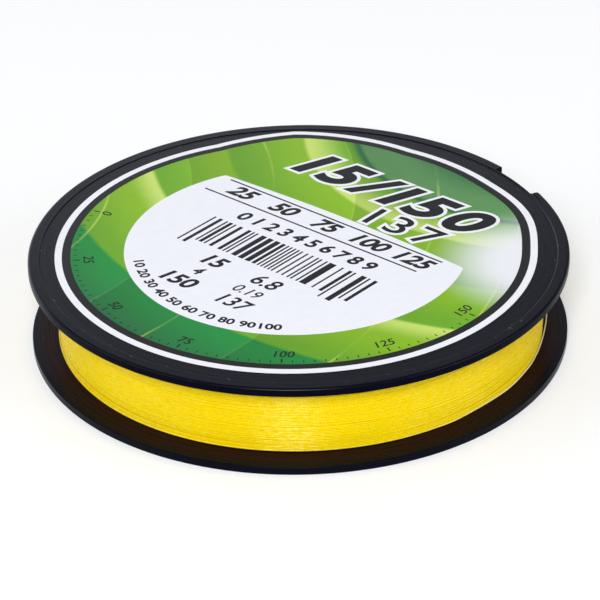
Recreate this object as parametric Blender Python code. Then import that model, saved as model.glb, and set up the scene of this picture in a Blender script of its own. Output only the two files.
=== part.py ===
"""Filler spool of braided fishing line: two moulded halves that snap together, the wound line, its label.

The spool stands on its back flange. The origin is the centre of the back face and +Z runs along the
spool's axis to the front face. Azimuths are in degrees from +X towards +Y. Sizes are in millimetres.
"""

import math

import bmesh
import bpy
from mathutils import Matrix, Vector

MM = 0.001
TURN_STEPS = 96
STEP_DEG = 360.0 / TURN_STEPS
SHARP_DEG = 28.0
CURVE_STEPS = 24

# Overall
SPOOL_H = 15.6
FIT_GAP = 0.2
SEAT_GAP = 0.3
GLUE_GAP = 0.1

# Flanges: a flat face inside a slightly raised band along the rim
FLANGE_R = 44.5
FLANGE_T = 1.4
RIM_BAND = 1.9
BAND_STEP = 0.3
BAND_SLOPE = 0.15
RIM_ROUND = 0.4
ROUND_STEPS = 3

# Barrel of the back half
BARREL_R = 38.0
BARREL_WALL = 1.5
BARREL_FILLET = 0.3
BARREL_CHAMFER = 0.3
LEDGE_REACH = 1.1
LEDGE_T = 1.4
LEDGE_SLOPE = 0.8
LEDGE_Z = 3.0
STOP_T = 1.0
STOP_OVERLAP = 0.9
STOP_LOW_Z = 1.0
STOP_CHAMFER = 0.8

# Plug skirt and snap fingers of the front half
SKIRT_DEPTH = 4.5
SKIRT_CHAMFER = 0.4
FINGER_T = 1.3
FINGER_COUNT = 6
FINGER_SPAN = 24.0
FINGER_TIP_Z = 1.0
FINGER_ROOT = 0.5
BARB_REACH = 0.9
BARB_LEAD = 0.9

# Spindle boss, ribs and stiffening hoop of the front half
SPINDLE_R = 4.1
SPINDLE_CHAMFER = 0.5
BOSS_WALL = 3.2
BOSS_TIP_Z = 0.9
BOSS_FILLET = 0.5
RIB_COUNT = 6
RIB_T = 1.2
RIB_DEPTH_AT_BOSS = 9.0
RIB_DEPTH_AT_SKIRT = 3.8
HOOP_R = 20.0
HOOP_T = 1.2
HOOP_DEPTH = 3.0

# Line notch in the front flange's rim, with a pinch slit at one end
NOTCH_AZIMUTH = 23.1
NOTCH_LENGTH = 11.0
NOTCH_DEPTH = 1.6
NOTCH_ENTRY_ROUND = 0.7
NOTCH_EXIT_ROUND = 0.2
SLIT_INSET = 1.2
SLIT_WIDTH = 0.15
SLIT_LENGTH = 3.5
SLIT_STEPS = 3

# Wound line, its start tape and its loose end
WOUND_DEPTH = 1.63
WOUND_CHAMFER = 0.25
TAPE_T = 0.12
TAPE_WIDTH = 8.0
TAPE_AZIMUTH = 202.5
TAPE_STEPS = 8
LINE_D = 0.24
TAIL_SPACING = 0.6

# Label: a disc with two swells of its edge, stuck on a little off centre
LABEL_T = 0.15
LABEL_MARGIN = 2.94
LABEL_SHIFT = -0.41
LABEL_POINTS = 144
CORNER_AZIMUTH = 90.0
CORNER_RISE = 2.05
CORNER_LEFT_DEG = 20.0
CORNER_RIGHT_DEG = 31.0
CORNER_RIGHT_POWER = 1.3
SWELL_AZIMUTH = 15.0
SWELL_RISE = 0.75
SWELL_HALF_DEG = 20.0

# Worked out from the sizes above
FACE_R = FLANGE_R - RIM_BAND
FRONT_INNER_Z = SPOOL_H - FLANGE_T
FRONT_FACE_Z = SPOOL_H - BAND_STEP
BARREL_BORE_R = BARREL_R - BARREL_WALL
BARREL_TOP_Z = FRONT_INNER_Z - SEAT_GAP
LEDGE_R = BARREL_BORE_R - LEDGE_REACH
SKIRT_R = BARREL_BORE_R - FIT_GAP
SKIRT_Z = FRONT_INNER_Z - SKIRT_DEPTH
FINGER_OUTER_R = LEDGE_R - FIT_GAP
FINGER_INNER_R = FINGER_OUTER_R - FINGER_T
BARB_R = FINGER_OUTER_R + BARB_REACH
CATCH_Z = LEDGE_Z - SEAT_GAP
SLOT_TOP_Z = SKIRT_Z - FINGER_ROOT
STOP_INNER_R = FINGER_OUTER_R - STOP_OVERLAP
STOP_TOP_Z = SLOT_TOP_Z - SEAT_GAP
SLIT_R = FLANGE_R - SLIT_INSET
BOSS_R = SPINDLE_R + BOSS_WALL
WOUND_INNER_R = BARREL_R + GLUE_GAP + TAPE_T + GLUE_GAP
WOUND_R = WOUND_INNER_R + WOUND_DEPTH
WOUND_LOW_Z = FLANGE_T + SEAT_GAP
WOUND_HIGH_Z = FRONT_INNER_Z - SEAT_GAP
LABEL_R = FACE_R - LABEL_MARGIN

# Colours (linear RGB), roughness and metallic
BLACK_PLASTIC = ((0.022, 0.022, 0.025), 0.28, 0.0)
YELLOW_LINE = ((0.90, 0.66, 0.010), 0.42, 0.0)
PALE_LINE = ((0.92, 0.72, 0.060), 0.45, 0.0)
GREEN_LABEL = ((0.19, 0.52, 0.045), 0.40, 0.0)
TAPE_FILM = ((0.75, 0.72, 0.60), 0.35, 0.0)


def clear_scene():
    """Remove every object of the scene."""
    for old in list(bpy.data.objects):
        bpy.data.objects.remove(old, do_unlink=True)


def material(name, finish):
    """A Principled material from (colour, roughness, metallic)."""
    colour, roughness, metallic = finish
    made = bpy.data.materials.new(name)
    made.use_nodes = True
    shader = made.node_tree.nodes["Principled BSDF"]
    shader.inputs["Base Color"].default_value = (*colour, 1.0)
    shader.inputs["Roughness"].default_value = roughness
    shader.inputs["Metallic"].default_value = metallic
    made.diffuse_color = (*colour, 1.0)
    return made


def polar(radius, azimuth, height):
    """Point in metres from a radius, an azimuth in degrees and a height in millimetres."""
    angle = math.radians(azimuth)
    return Vector((radius * math.cos(angle), radius * math.sin(angle), height)) * MM


def arc(centre, radius, start, end, steps=ROUND_STEPS):
    """Points of a circular arc in a flat outline, both ends included, angles in degrees."""
    angles = [math.radians(start + (end - start) * step / steps) for step in range(steps + 1)]
    return [(centre[0] + radius * math.cos(a), centre[1] + radius * math.sin(a)) for a in angles]


def place(name, mesh, finish):
    """Turn an edited mesh into a named object with its own material."""
    bmesh.ops.recalc_face_normals(mesh, faces=mesh.faces)
    data = bpy.data.meshes.new(name)
    mesh.to_mesh(data)
    mesh.free()
    data.shade_smooth()
    data.set_sharp_from_angle(angle=math.radians(SHARP_DEG))
    placed = bpy.data.objects.new(name, data)
    bpy.context.scene.collection.objects.link(placed)
    if finish is not None:
        data.materials.append(material(name, finish))
    return placed


def turned(name, outline, finish):
    """Body of revolution about Z. An outline from the axis ends on it, and any other closes on itself."""
    mesh = bmesh.new()
    chain = [mesh.verts.new((radius * MM, 0.0, height * MM)) for radius, height in outline]
    pairs = list(zip(chain, chain[1:]))
    if outline[0][0] > 0.0:
        pairs.append((chain[-1], chain[0]))
    edges = [mesh.edges.new(pair) for pair in pairs]
    bmesh.ops.spin(
        mesh,
        geom=chain + edges,
        cent=(0.0, 0.0, 0.0),
        axis=(0.0, 0.0, 1.0),
        angle=math.tau,
        steps=TURN_STEPS,
        use_merge=True,
    )
    bmesh.ops.remove_doubles(mesh, verts=mesh.verts, dist=0.000001)
    return place(name, mesh, finish)


def add_prism(mesh, corners, along):
    """Add a closed prism: a flat face through the corners, extruded along a vector."""
    face = mesh.faces.new([mesh.verts.new(corner) for corner in corners])
    lifted = bmesh.ops.extrude_face_region(mesh, geom=[face])["geom"]
    verts = [item for item in lifted if isinstance(item, bmesh.types.BMVert)]
    bmesh.ops.translate(mesh, verts=verts, vec=along)


def cut_or_join(body, tool, operation):
    """Combine a body with a hidden tool object."""
    modifier = body.modifiers.new(tool.name, "BOOLEAN")
    modifier.operation = operation
    modifier.solver = "EXACT"
    modifier.object = tool
    tool.hide_render = True
    tool.display_type = "WIRE"


def rim_profile(inner_z, outer_z):
    """Outer edge of a flange from its inner face, round the rim, to the foot of the raised band's step."""
    way = 1.0 if outer_z > inner_z else -1.0
    inner_centre = (FLANGE_R - RIM_ROUND, inner_z + way * RIM_ROUND)
    outer_centre = (FLANGE_R - RIM_ROUND, outer_z - way * RIM_ROUND)
    return [
        *arc(inner_centre, RIM_ROUND, -90.0 * way, 0.0),
        *arc(outer_centre, RIM_ROUND, 0.0, 90.0 * way),
        (FACE_R, outer_z),
        (FACE_R - BAND_SLOPE, outer_z - way * BAND_STEP),
    ]


def front_outline():
    """Half section of the front half: spindle boss, hoop, snap finger with its barb, skirt and flange."""
    hoop_inner = HOOP_R - HOOP_T / 2.0
    hoop_outer = HOOP_R + HOOP_T / 2.0
    return [
        (0.0, FRONT_INNER_Z),
        (SPINDLE_R, FRONT_INNER_Z),
        (SPINDLE_R, BOSS_TIP_Z + SPINDLE_CHAMFER),
        (SPINDLE_R + SPINDLE_CHAMFER, BOSS_TIP_Z),
        (BOSS_R, BOSS_TIP_Z),
        *arc((BOSS_R + BOSS_FILLET, FRONT_INNER_Z - BOSS_FILLET), BOSS_FILLET, 180.0, 90.0, 2),
        (hoop_inner, FRONT_INNER_Z),
        (hoop_inner, FRONT_INNER_Z - HOOP_DEPTH),
        (hoop_outer, FRONT_INNER_Z - HOOP_DEPTH),
        (hoop_outer, FRONT_INNER_Z),
        (FINGER_INNER_R, FRONT_INNER_Z),
        (FINGER_INNER_R, FINGER_TIP_Z),
        (FINGER_OUTER_R, FINGER_TIP_Z),
        (BARB_R, FINGER_TIP_Z + BARB_LEAD),
        (BARB_R, CATCH_Z),
        (FINGER_OUTER_R, CATCH_Z),
        (FINGER_OUTER_R, SKIRT_Z),
        (SKIRT_R - SKIRT_CHAMFER, SKIRT_Z),
        (SKIRT_R, SKIRT_Z + SKIRT_CHAMFER),
        (SKIRT_R, FRONT_INNER_Z),
        *rim_profile(FRONT_INNER_Z, SPOOL_H),
        (0.0, FRONT_FACE_Z),
    ]


def back_outline():
    """Half section of the back half: flange, barrel, and the ledge inside it that the barbs catch."""
    fillet_centre = (BARREL_R + BARREL_FILLET, FLANGE_T + BARREL_FILLET)
    ledge_top = LEDGE_Z + LEDGE_T
    return [
        (BARREL_BORE_R, BAND_STEP),
        *reversed(rim_profile(FLANGE_T, 0.0)),
        *arc(fillet_centre, BARREL_FILLET, 270.0, 180.0, 2),
        (BARREL_R, BARREL_TOP_Z - BARREL_CHAMFER),
        (BARREL_R - BARREL_CHAMFER, BARREL_TOP_Z),
        (BARREL_BORE_R + BARREL_CHAMFER, BARREL_TOP_Z),
        (BARREL_BORE_R, BARREL_TOP_Z - BARREL_CHAMFER),
        (BARREL_BORE_R, ledge_top + LEDGE_SLOPE),
        (LEDGE_R, ledge_top),
        (LEDGE_R, LEDGE_Z),
        (BARREL_BORE_R, LEDGE_Z),
    ]


def radial_plates(name, section, thickness, azimuths):
    """Closed plates of one (radius, height) section, each standing along its own azimuth."""
    mesh = bmesh.new()
    for azimuth in azimuths:
        turn = Matrix.Rotation(math.radians(azimuth), 3, "Z")
        corners = [turn @ Vector((r, -thickness / 2.0, z)) * MM for r, z in section]
        add_prism(mesh, corners, turn @ Vector((0.0, thickness, 0.0)) * MM)
    return place(name, mesh, None)


def rib_tool():
    """Radial ribs from the boss to the skirt, deeper at the boss, midway between the fingers."""
    inner = BOSS_R - BOSS_WALL / 2.0
    outer = (FINGER_INNER_R + FINGER_OUTER_R) / 2.0
    top = FRONT_INNER_Z + FLANGE_T / 4.0
    section = [
        (inner, top),
        (inner, FRONT_INNER_Z - RIB_DEPTH_AT_BOSS),
        (outer, FRONT_INNER_Z - RIB_DEPTH_AT_SKIRT),
        (outer, top),
    ]
    azimuths = [360.0 * (index + 0.5) / RIB_COUNT for index in range(RIB_COUNT)]
    return radial_plates("rib_tool", section, RIB_T, azimuths)


def stop_tool():
    """Stops inside the barrel, one on each side of every finger, that keep the halves from turning."""
    outer = BARREL_R - BARREL_WALL / 2.0
    section = [
        (STOP_INNER_R, STOP_LOW_Z),
        (outer, STOP_LOW_Z),
        (outer, STOP_TOP_Z),
        (STOP_INNER_R + STOP_CHAMFER, STOP_TOP_Z),
        (STOP_INNER_R, STOP_TOP_Z - STOP_CHAMFER),
    ]
    aside = FINGER_SPAN / 2.0 + math.degrees((SEAT_GAP + STOP_T / 2.0) / FINGER_OUTER_R)
    pitch = 360.0 / FINGER_COUNT
    azimuths = [index * pitch + side for index in range(FINGER_COUNT) for side in (-aside, aside)]
    return radial_plates("stop_tool", section, STOP_T, azimuths)


def slot_cutter():
    """Gaps that part the finger ring into separate snap fingers."""
    mesh = bmesh.new()
    inner = FINGER_INNER_R - FINGER_T
    outer = BARREL_R
    low = FINGER_TIP_Z - FINGER_T
    high = SLOT_TOP_Z
    pitch = 360.0 / FINGER_COUNT
    gap = pitch - FINGER_SPAN
    steps = max(2, round(gap / STEP_DEG))
    for index in range(FINGER_COUNT):
        start = index * pitch + FINGER_SPAN / 2.0
        turns = [start + gap * step / steps for step in range(steps + 1)]
        corners = [polar(outer, turn, low) for turn in turns]
        corners += [polar(inner, turn, low) for turn in reversed(turns)]
        add_prism(mesh, corners, Vector((0.0, 0.0, high - low)) * MM)
    return place("slot_cutter", mesh, None)


def notch_cutter():
    """Line notch through the rim, with a rounded entry corner and a pinch slit along the rim."""
    clear = NOTCH_DEPTH
    slit_outer = -SLIT_INSET + SLIT_WIDTH / 2.0
    slit_inner = -SLIT_INSET - SLIT_WIDTH / 2.0
    entry = arc((-NOTCH_ENTRY_ROUND, -NOTCH_ENTRY_ROUND), NOTCH_ENTRY_ROUND, 90.0, 0.0, 4)
    exit_centre = (NOTCH_LENGTH + NOTCH_EXIT_ROUND, -NOTCH_EXIT_ROUND)
    floor_steps = max(2, round(math.degrees(NOTCH_LENGTH / FLANGE_R) / STEP_DEG) * 2)
    slit_along = [-SLIT_LENGTH * step / SLIT_STEPS for step in range(SLIT_STEPS + 1)]
    outline = [
        (-NOTCH_ENTRY_ROUND, clear),
        *entry,
        *[(along, slit_outer) for along in slit_along],
        *[(along, slit_inner) for along in reversed(slit_along)],
        *[(NOTCH_LENGTH * step / floor_steps, -NOTCH_DEPTH) for step in range(floor_steps + 1)],
        *arc(exit_centre, NOTCH_EXIT_ROUND, 180.0, 90.0, 2),
        (NOTCH_LENGTH + NOTCH_EXIT_ROUND, clear),
    ]
    low = FRONT_INNER_Z - FLANGE_T
    mesh = bmesh.new()
    corners = [
        polar(FLANGE_R + outward, NOTCH_AZIMUTH + math.degrees(along / FLANGE_R), low)
        for along, outward in outline
    ]
    add_prism(mesh, corners, Vector((0.0, 0.0, 3.0 * FLANGE_T)) * MM)
    return place("notch_cutter", mesh, None)


def front_half():
    """Front flange with the spindle boss, ribs, plug skirt and snap fingers behind it."""
    body = turned("front_half", front_outline(), BLACK_PLASTIC)
    cut_or_join(body, rib_tool(), "UNION")
    cut_or_join(body, slot_cutter(), "DIFFERENCE")
    cut_or_join(body, notch_cutter(), "DIFFERENCE")
    return body


def back_half():
    """Back flange with the barrel that the line is wound on, its catch ledge and its stops."""
    body = turned("back_half", back_outline(), BLACK_PLASTIC)
    cut_or_join(body, stop_tool(), "UNION")
    return body


def line_winding():
    """The wound line as one closed ring between the flanges."""
    outline = [
        (WOUND_INNER_R, WOUND_LOW_Z),
        (WOUND_R - WOUND_CHAMFER, WOUND_LOW_Z),
        (WOUND_R, WOUND_LOW_Z + WOUND_CHAMFER),
        (WOUND_R, WOUND_HIGH_Z - WOUND_CHAMFER),
        (WOUND_R - WOUND_CHAMFER, WOUND_HIGH_Z),
        (WOUND_INNER_R, WOUND_HIGH_Z),
    ]
    return turned("line_winding", outline, YELLOW_LINE)


def start_tape():
    """Strip of tape that holds the line's start on the barrel, under the wound line."""
    inner = BARREL_R + GLUE_GAP
    outer = inner + TAPE_T
    low = (WOUND_LOW_Z + WOUND_HIGH_Z - TAPE_WIDTH) / 2.0
    turns = [TAPE_AZIMUTH + STEP_DEG * step for step in range(TAPE_STEPS + 1)]
    corners = [polar(outer, turn, low) for turn in turns]
    corners += [polar(inner, turn, low) for turn in reversed(turns)]
    mesh = bmesh.new()
    add_prism(mesh, corners, Vector((0.0, 0.0, TAPE_WIDTH)) * MM)
    return place("start_tape", mesh, TAPE_FILM)


def label_rise(azimuth):
    """How far the label's edge stands out from its circle at an azimuth."""
    off_corner = (azimuth - CORNER_AZIMUTH + 180.0) % 360.0 - 180.0
    if off_corner >= 0.0:
        corner = max(0.0, 1.0 - off_corner / CORNER_LEFT_DEG)
    else:
        corner = max(0.0, 1.0 - (-off_corner / CORNER_RIGHT_DEG) ** CORNER_RIGHT_POWER)
    off_swell = (azimuth - SWELL_AZIMUTH + 180.0) % 360.0 - 180.0
    share = min(1.0, abs(off_swell) / SWELL_HALF_DEG)
    swell = math.cos(share * math.pi / 2.0) ** 2
    return CORNER_RISE * corner + SWELL_RISE * swell


def front_label():
    """Printed label on the front face."""
    turns = [360.0 * point / LABEL_POINTS for point in range(LABEL_POINTS)]
    shift = Vector((LABEL_SHIFT, 0.0, 0.0)) * MM
    low = FRONT_FACE_Z + GLUE_GAP
    corners = [polar(LABEL_R + label_rise(turn), turn, low) + shift for turn in turns]
    mesh = bmesh.new()
    add_prism(mesh, corners, Vector((0.0, 0.0, LABEL_T)) * MM)
    return place("front_label", mesh, GREEN_LABEL)


def tail_route():
    """Hand-placed points of the loose end (azimuth, share of the way out to the slit, height)."""
    low = WOUND_LOW_Z + LINE_D
    return [
        (-36.0, 0.0, low),
        (-25.0, 0.01, low),
        (-18.0, 0.04, low),
        (-11.5, 0.11, low),
        (-4.5, 0.225, low + 0.05),
        (0.0, 0.34, low + 0.5),
        (5.0, 0.48, low + 2.8),
        (12.0, 0.67, FRONT_INNER_Z - 5.0),
        (18.5, 0.95, FRONT_INNER_Z - 1.7),
        (NOTCH_AZIMUTH + 0.6, 1.0, FRONT_INNER_Z + 0.2),
        (NOTCH_AZIMUTH + 0.7, 1.0, FRONT_FACE_Z - LINE_D),
    ]


def smooth_points(knots, spacing):
    """Evenly spaced points along a Catmull-Rom curve through the knots."""
    ends = [2.0 * knots[0] - knots[1], *knots, 2.0 * knots[-1] - knots[-2]]
    fine = []
    for before, start, end, after in zip(ends, ends[1:], ends[2:], ends[3:]):
        for step in range(CURVE_STEPS):
            t = step / CURVE_STEPS
            fine.append(
                0.5
                * (
                    2.0 * start
                    + (end - before) * t
                    + (2.0 * before - 5.0 * start + 4.0 * end - after) * t**2
                    + (3.0 * start - before - 3.0 * end + after) * t**3
                )
            )
    fine.append(knots[-1])
    reach = [0.0]
    for start, end in zip(fine, fine[1:]):
        reach.append(reach[-1] + (end - start).length)
    count = max(2, round(reach[-1] / spacing))
    points = []
    index = 0
    for number in range(count + 1):
        wanted = reach[-1] * number / count
        while index < len(fine) - 2 and reach[index + 1] < wanted:
            index += 1
        share = (wanted - reach[index]) / max(reach[index + 1] - reach[index], 1e-12)
        points.append(fine[index].lerp(fine[index + 1], min(share, 1.0)))
    return points


def line_tail():
    """Loose end of the line, which leaves the winding and runs up to the pinch slit."""
    start_r = WOUND_R + LINE_D / 2.0 + FIT_GAP
    way_out = SLIT_R - start_r
    knots = [polar(start_r + share * way_out, azimuth, height) for azimuth, share, height in tail_route()]
    points = smooth_points(knots, TAIL_SPACING * MM)
    data = bpy.data.curves.new("line_tail", "CURVE")
    data.dimensions = "3D"
    data.bevel_depth = LINE_D / 2.0 * MM
    data.bevel_resolution = 2
    data.use_fill_caps = True
    spline = data.splines.new("POLY")
    spline.points.add(len(points) - 1)
    for target, point in zip(spline.points, points):
        target.co = (*point, 1.0)
    data.materials.append(material("line_tail", PALE_LINE))
    tail = bpy.data.objects.new("line_tail", data)
    bpy.context.scene.collection.objects.link(tail)
    return tail


def main():
    clear_scene()
    front_half()
    back_half()
    line_winding()
    start_tape()
    front_label()
    line_tail()


main()
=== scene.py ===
"""Dressed model of a flat filler spool of braided fishing line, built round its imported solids.

Sizes are in millimetres unless a name ends in _m. Azimuths are in degrees from +X towards +Y, as seen
from the front face. The spool lies on its back flange, and +Z runs up its axis to the printed label.
"""

import logging
import math
from collections.abc import Callable, Iterable, Mapping, Sequence
from dataclasses import dataclass
from enum import Enum
from functools import cache

import bmesh
import bpy
import numpy as np
from mathutils import Matrix, Vector
from mathutils.geometry import delaunay_2d_cdt


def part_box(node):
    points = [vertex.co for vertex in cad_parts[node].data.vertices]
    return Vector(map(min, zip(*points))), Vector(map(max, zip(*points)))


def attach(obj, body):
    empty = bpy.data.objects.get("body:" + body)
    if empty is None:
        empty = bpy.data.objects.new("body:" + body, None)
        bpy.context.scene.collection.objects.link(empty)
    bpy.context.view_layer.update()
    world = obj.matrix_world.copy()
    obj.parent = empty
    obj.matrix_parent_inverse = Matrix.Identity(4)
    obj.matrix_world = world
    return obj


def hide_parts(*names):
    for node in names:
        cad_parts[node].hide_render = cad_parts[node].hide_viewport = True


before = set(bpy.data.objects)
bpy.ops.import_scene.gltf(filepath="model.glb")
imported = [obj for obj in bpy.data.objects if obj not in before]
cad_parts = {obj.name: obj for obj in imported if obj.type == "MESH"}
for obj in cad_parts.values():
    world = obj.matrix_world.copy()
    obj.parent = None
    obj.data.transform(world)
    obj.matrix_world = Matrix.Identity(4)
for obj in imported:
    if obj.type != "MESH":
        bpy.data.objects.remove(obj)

LOG = logging.getLogger("line_spool")
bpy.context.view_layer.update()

MM = 0.001
BODY = "root"
TURN_STEPS = 288
ROUND_STEPS = 6
SHARP_DEG = 32.0
STRAND_SHARP_DEG = 70.0
GUARD = 0.03
HAIR = 0.0002

Point = tuple[float, float]
Rgb = tuple[float, float, float]
Mesh = bmesh.types.BMesh
Piece = bpy.types.Object
Group = bpy.types.NodeTree
Socket = bpy.types.NodeSocket
Value = float | Sequence[float] | Socket
Angles = float | np.ndarray


# ---------------- shared sizes


def signed_off(azimuths: Angles, middle: float) -> Angles:
    """Degrees from a middle azimuth, -180 to 180."""
    return (azimuths - middle + 180.0) % 360.0 - 180.0


def hump(azimuths: Angles, middle: float, half_deg: float) -> Angles:
    """A smooth hump of height 1 that ends half_deg from its middle."""
    share = np.minimum(1.0, np.abs(signed_off(azimuths, middle)) / half_deg)
    return np.cos(share * math.pi / 2.0) ** 2


@dataclass(frozen=True)
class SpoolSizes:
    """Sizes that more than one piece of the spool is made from."""

    flange_r: float
    height: float
    flange_t: float = 1.4
    rim_band: float = 1.9
    band_step: float = 0.12
    band_slope: float = 0.10
    band_round: float = 0.04
    rim_edge: float = 0.12
    barrel_r: float = 38.0
    barrel_wall: float = 1.5
    ledge_reach: float = 1.1
    ledge_t: float = 1.4
    ledge_slope: float = 0.8
    ledge_z: float = 3.0
    finger_t: float = 1.3
    finger_count: int = 6
    finger_span: float = 24.0
    skirt_depth: float = 4.5
    finger_root: float = 0.5
    fit_gap: float = 0.2
    seat_gap: float = 0.3
    wound_r: float = 39.95
    pile_up: float = 0.46
    pile_azimuth: float = -12.0
    pile_half_deg: float = 45.0
    line_d: float = 0.24
    notch_azimuth: float = 23.1
    slit_inset: float = 1.2

    @classmethod
    def from_frame(cls) -> "SpoolSizes":
        """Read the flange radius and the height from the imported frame.

        Returns:
            The sizes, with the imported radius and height.
        """
        _, back_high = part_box("back_half")
        _, front_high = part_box("front_half")
        return cls(flange_r=back_high.x / MM, height=front_high.z / MM)

    @property
    def face_r(self) -> float:
        """Radius where the raised band along the rim begins."""
        return self.flange_r - self.rim_band

    @property
    def front_inner_z(self) -> float:
        """Height of the front flange's inner face."""
        return self.height - self.flange_t

    @property
    def front_face_z(self) -> float:
        """Height of the front face inside the raised band."""
        return self.height - self.band_step

    @property
    def barrel_bore_r(self) -> float:
        """Inner radius of the barrel."""
        return self.barrel_r - self.barrel_wall

    @property
    def ledge_r(self) -> float:
        """Inner radius of the ledge that the snap fingers catch."""
        return self.barrel_bore_r - self.ledge_reach

    @property
    def finger_outer_r(self) -> float:
        """Outer radius of the snap fingers."""
        return self.ledge_r - self.fit_gap

    @property
    def finger_azimuths(self) -> list[float]:
        """Azimuths of the snap fingers' middles."""
        return [360.0 / self.finger_count * index for index in range(self.finger_count)]

    @property
    def slot_top_z(self) -> float:
        """Height up to which the snap fingers stand apart."""
        return self.front_inner_z - self.skirt_depth - self.finger_root

    def wound_at(self, azimuths: Angles) -> Angles:
        """Radius of the winding, which is a little larger where the last turns pile up."""
        return self.wound_r + self.pile_up * hump(azimuths, self.pile_azimuth, self.pile_half_deg)


# ---------------- shapes


@dataclass(frozen=True)
class Corner:
    """A corner of a half section, and the radius that rounds it off."""

    r: float
    z: float
    round: float = 0.0


class Join(Enum):
    """How a tool body is combined with a piece."""

    UNION = "UNION"
    DIFFERENCE = "DIFFERENCE"


def polar(radius: float, azimuth: float, height: float) -> Vector:
    """A place in metres, from millimetres and degrees."""
    angle = math.radians(azimuth)
    return Vector((radius * math.cos(angle), radius * math.sin(angle), height)) * MM


def polar_rows(radii: np.ndarray, azimuths: np.ndarray, heights: np.ndarray) -> np.ndarray:
    """Places in millimetres, one in each row."""
    angles = np.radians(azimuths)
    return np.stack([radii * np.cos(angles), radii * np.sin(angles), heights], axis=-1)


def arc(centre: Point, radius: float, start: float, end: float, steps: int) -> list[Point]:
    """Points of a flat circular arc from one angle in degrees to another, both ends included."""
    angles = np.radians(np.linspace(start, end, steps + 1))
    return [(centre[0] + radius * math.cos(a), centre[1] + radius * math.sin(a)) for a in angles]


def rounded(corners: Sequence[Corner], closed: bool) -> list[Point]:
    """Round off the corners of a half section.

    Args:
        corners: The section's corners in order.
        closed: Whether the last corner is joined to the first.

    Returns:
        The section's points, with a guard point at each end of a rounding that keeps the shading flat.
    """
    points: list[Point] = []
    for index, corner in enumerate(corners):
        here = Vector((corner.r, corner.z))
        at_end = not closed and index in (0, len(corners) - 1)
        if corner.round == 0.0 or at_end:
            points.append((here.x, here.y))
            continue
        before = corners[index - 1]
        after = corners[(index + 1) % len(corners)]
        back = (Vector((before.r, before.z)) - here).normalized()
        onward = (Vector((after.r, after.z)) - here).normalized()
        half = back.angle(onward) / 2.0
        reach = corner.round / math.tan(half)
        centre = here + (back + onward).normalized() * corner.round / math.sin(half)
        first = here + back * reach - centre
        last = here + onward * reach - centre
        way = math.copysign(1.0, first.x * last.y - first.y * last.x)
        sweep = way * (math.pi - 2.0 * half)
        points.append(tuple(here + back * (reach + GUARD)))
        for step in range(ROUND_STEPS + 1):
            spun = Matrix.Rotation(sweep * step / ROUND_STEPS, 2) @ first
            points.append(tuple(centre + spun))
        points.append(tuple(here + onward * (reach + GUARD)))
    return points


def shade(data: bpy.types.Mesh, sharp_deg: float = SHARP_DEG) -> None:
    """Shade faces that meet at a low angle as one surface."""
    data.shade_smooth()
    data.set_sharp_from_angle(angle=math.radians(sharp_deg))


def placed(name: str, data: bpy.types.ID) -> Piece:
    """Put an object into the scene.

    Args:
        name: Name of the object.
        data: What it shows.

    Returns:
        The new object.
    """
    made = bpy.data.objects.new(name, data)
    bpy.context.scene.collection.objects.link(made)
    return made


def new_piece(name: str, mesh: Mesh, smooth: bool = True) -> Piece:
    """Turn an edited mesh into an object of the scene.

    Args:
        name: Name of the piece.
        mesh: The edited mesh, which is freed.
        smooth: Whether faces that meet at a low angle are shaded as one surface.

    Returns:
        The new object.
    """
    bmesh.ops.recalc_face_normals(mesh, faces=mesh.faces)
    data = bpy.data.meshes.new(name)
    mesh.to_mesh(data)
    mesh.free()
    if smooth:
        shade(data)
    return placed(name, data)


def turned(mesh: Mesh, outline: Sequence[Point]) -> None:
    """Add a body of revolution about Z.

    Args:
        mesh: Mesh to add to.
        outline: Half section as (radius, height). One that starts on the axis ends on it, and any other
            closes on itself.
    """
    chain = [mesh.verts.new((radius * MM, 0.0, height * MM)) for radius, height in outline]
    pairs = list(zip(chain, chain[1:]))
    if outline[0][0] > 0.0:
        pairs.append((chain[-1], chain[0]))
    geom = chain + [mesh.edges.new(pair) for pair in pairs]
    turn = {"cent": (0.0, 0.0, 0.0), "axis": (0.0, 0.0, 1.0), "angle": math.tau, "steps": TURN_STEPS}
    bmesh.ops.spin(mesh, geom=geom, use_merge=True, **turn)
    same_m = 0.000001
    bmesh.ops.remove_doubles(mesh, verts=mesh.verts, dist=same_m)


def add_prism(mesh: Mesh, corners: Iterable[Vector], along: Vector) -> None:
    """Add a closed prism.

    Args:
        mesh: Mesh to add to.
        corners: Corners of one flat end, in metres.
        along: Vector from this end to the other, in metres.
    """
    face = mesh.faces.new([mesh.verts.new(corner) for corner in corners])
    lifted = bmesh.ops.extrude_face_region(mesh, geom=[face])["geom"]
    verts = [item for item in lifted if isinstance(item, bmesh.types.BMVert)]
    bmesh.ops.translate(mesh, verts=verts, vec=along)


def add_plate(mesh: Mesh, outline: Sequence[Point], low: float, high: float) -> None:
    """Add a flat plate between two heights."""
    corners = [Vector((x, y, low)) * MM for x, y in outline]
    add_prism(mesh, corners, Vector((0.0, 0.0, high - low)) * MM)


def turns_round(places: np.ndarray, edges: np.ndarray) -> np.ndarray:
    """Count how often directed edges go round places, anticlockwise.

    Args:
        places: One place in each row.
        edges: One edge in each row, as its start and its end.

    Returns:
        The number of turns round each place.
    """
    (x0, y0), (x1, y1) = edges[:, 0].T, edges[:, 1].T
    x, y = places[:, :1], places[:, 1:]
    side = (x1 - x0) * (y - y0) - (x - x0) * (y1 - y0)
    upward = (y0 <= y) & (y1 > y) & (side > 0.0)
    downward = (y0 > y) & (y1 <= y) & (side < 0.0)
    return upward.sum(axis=1) - downward.sum(axis=1)


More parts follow.
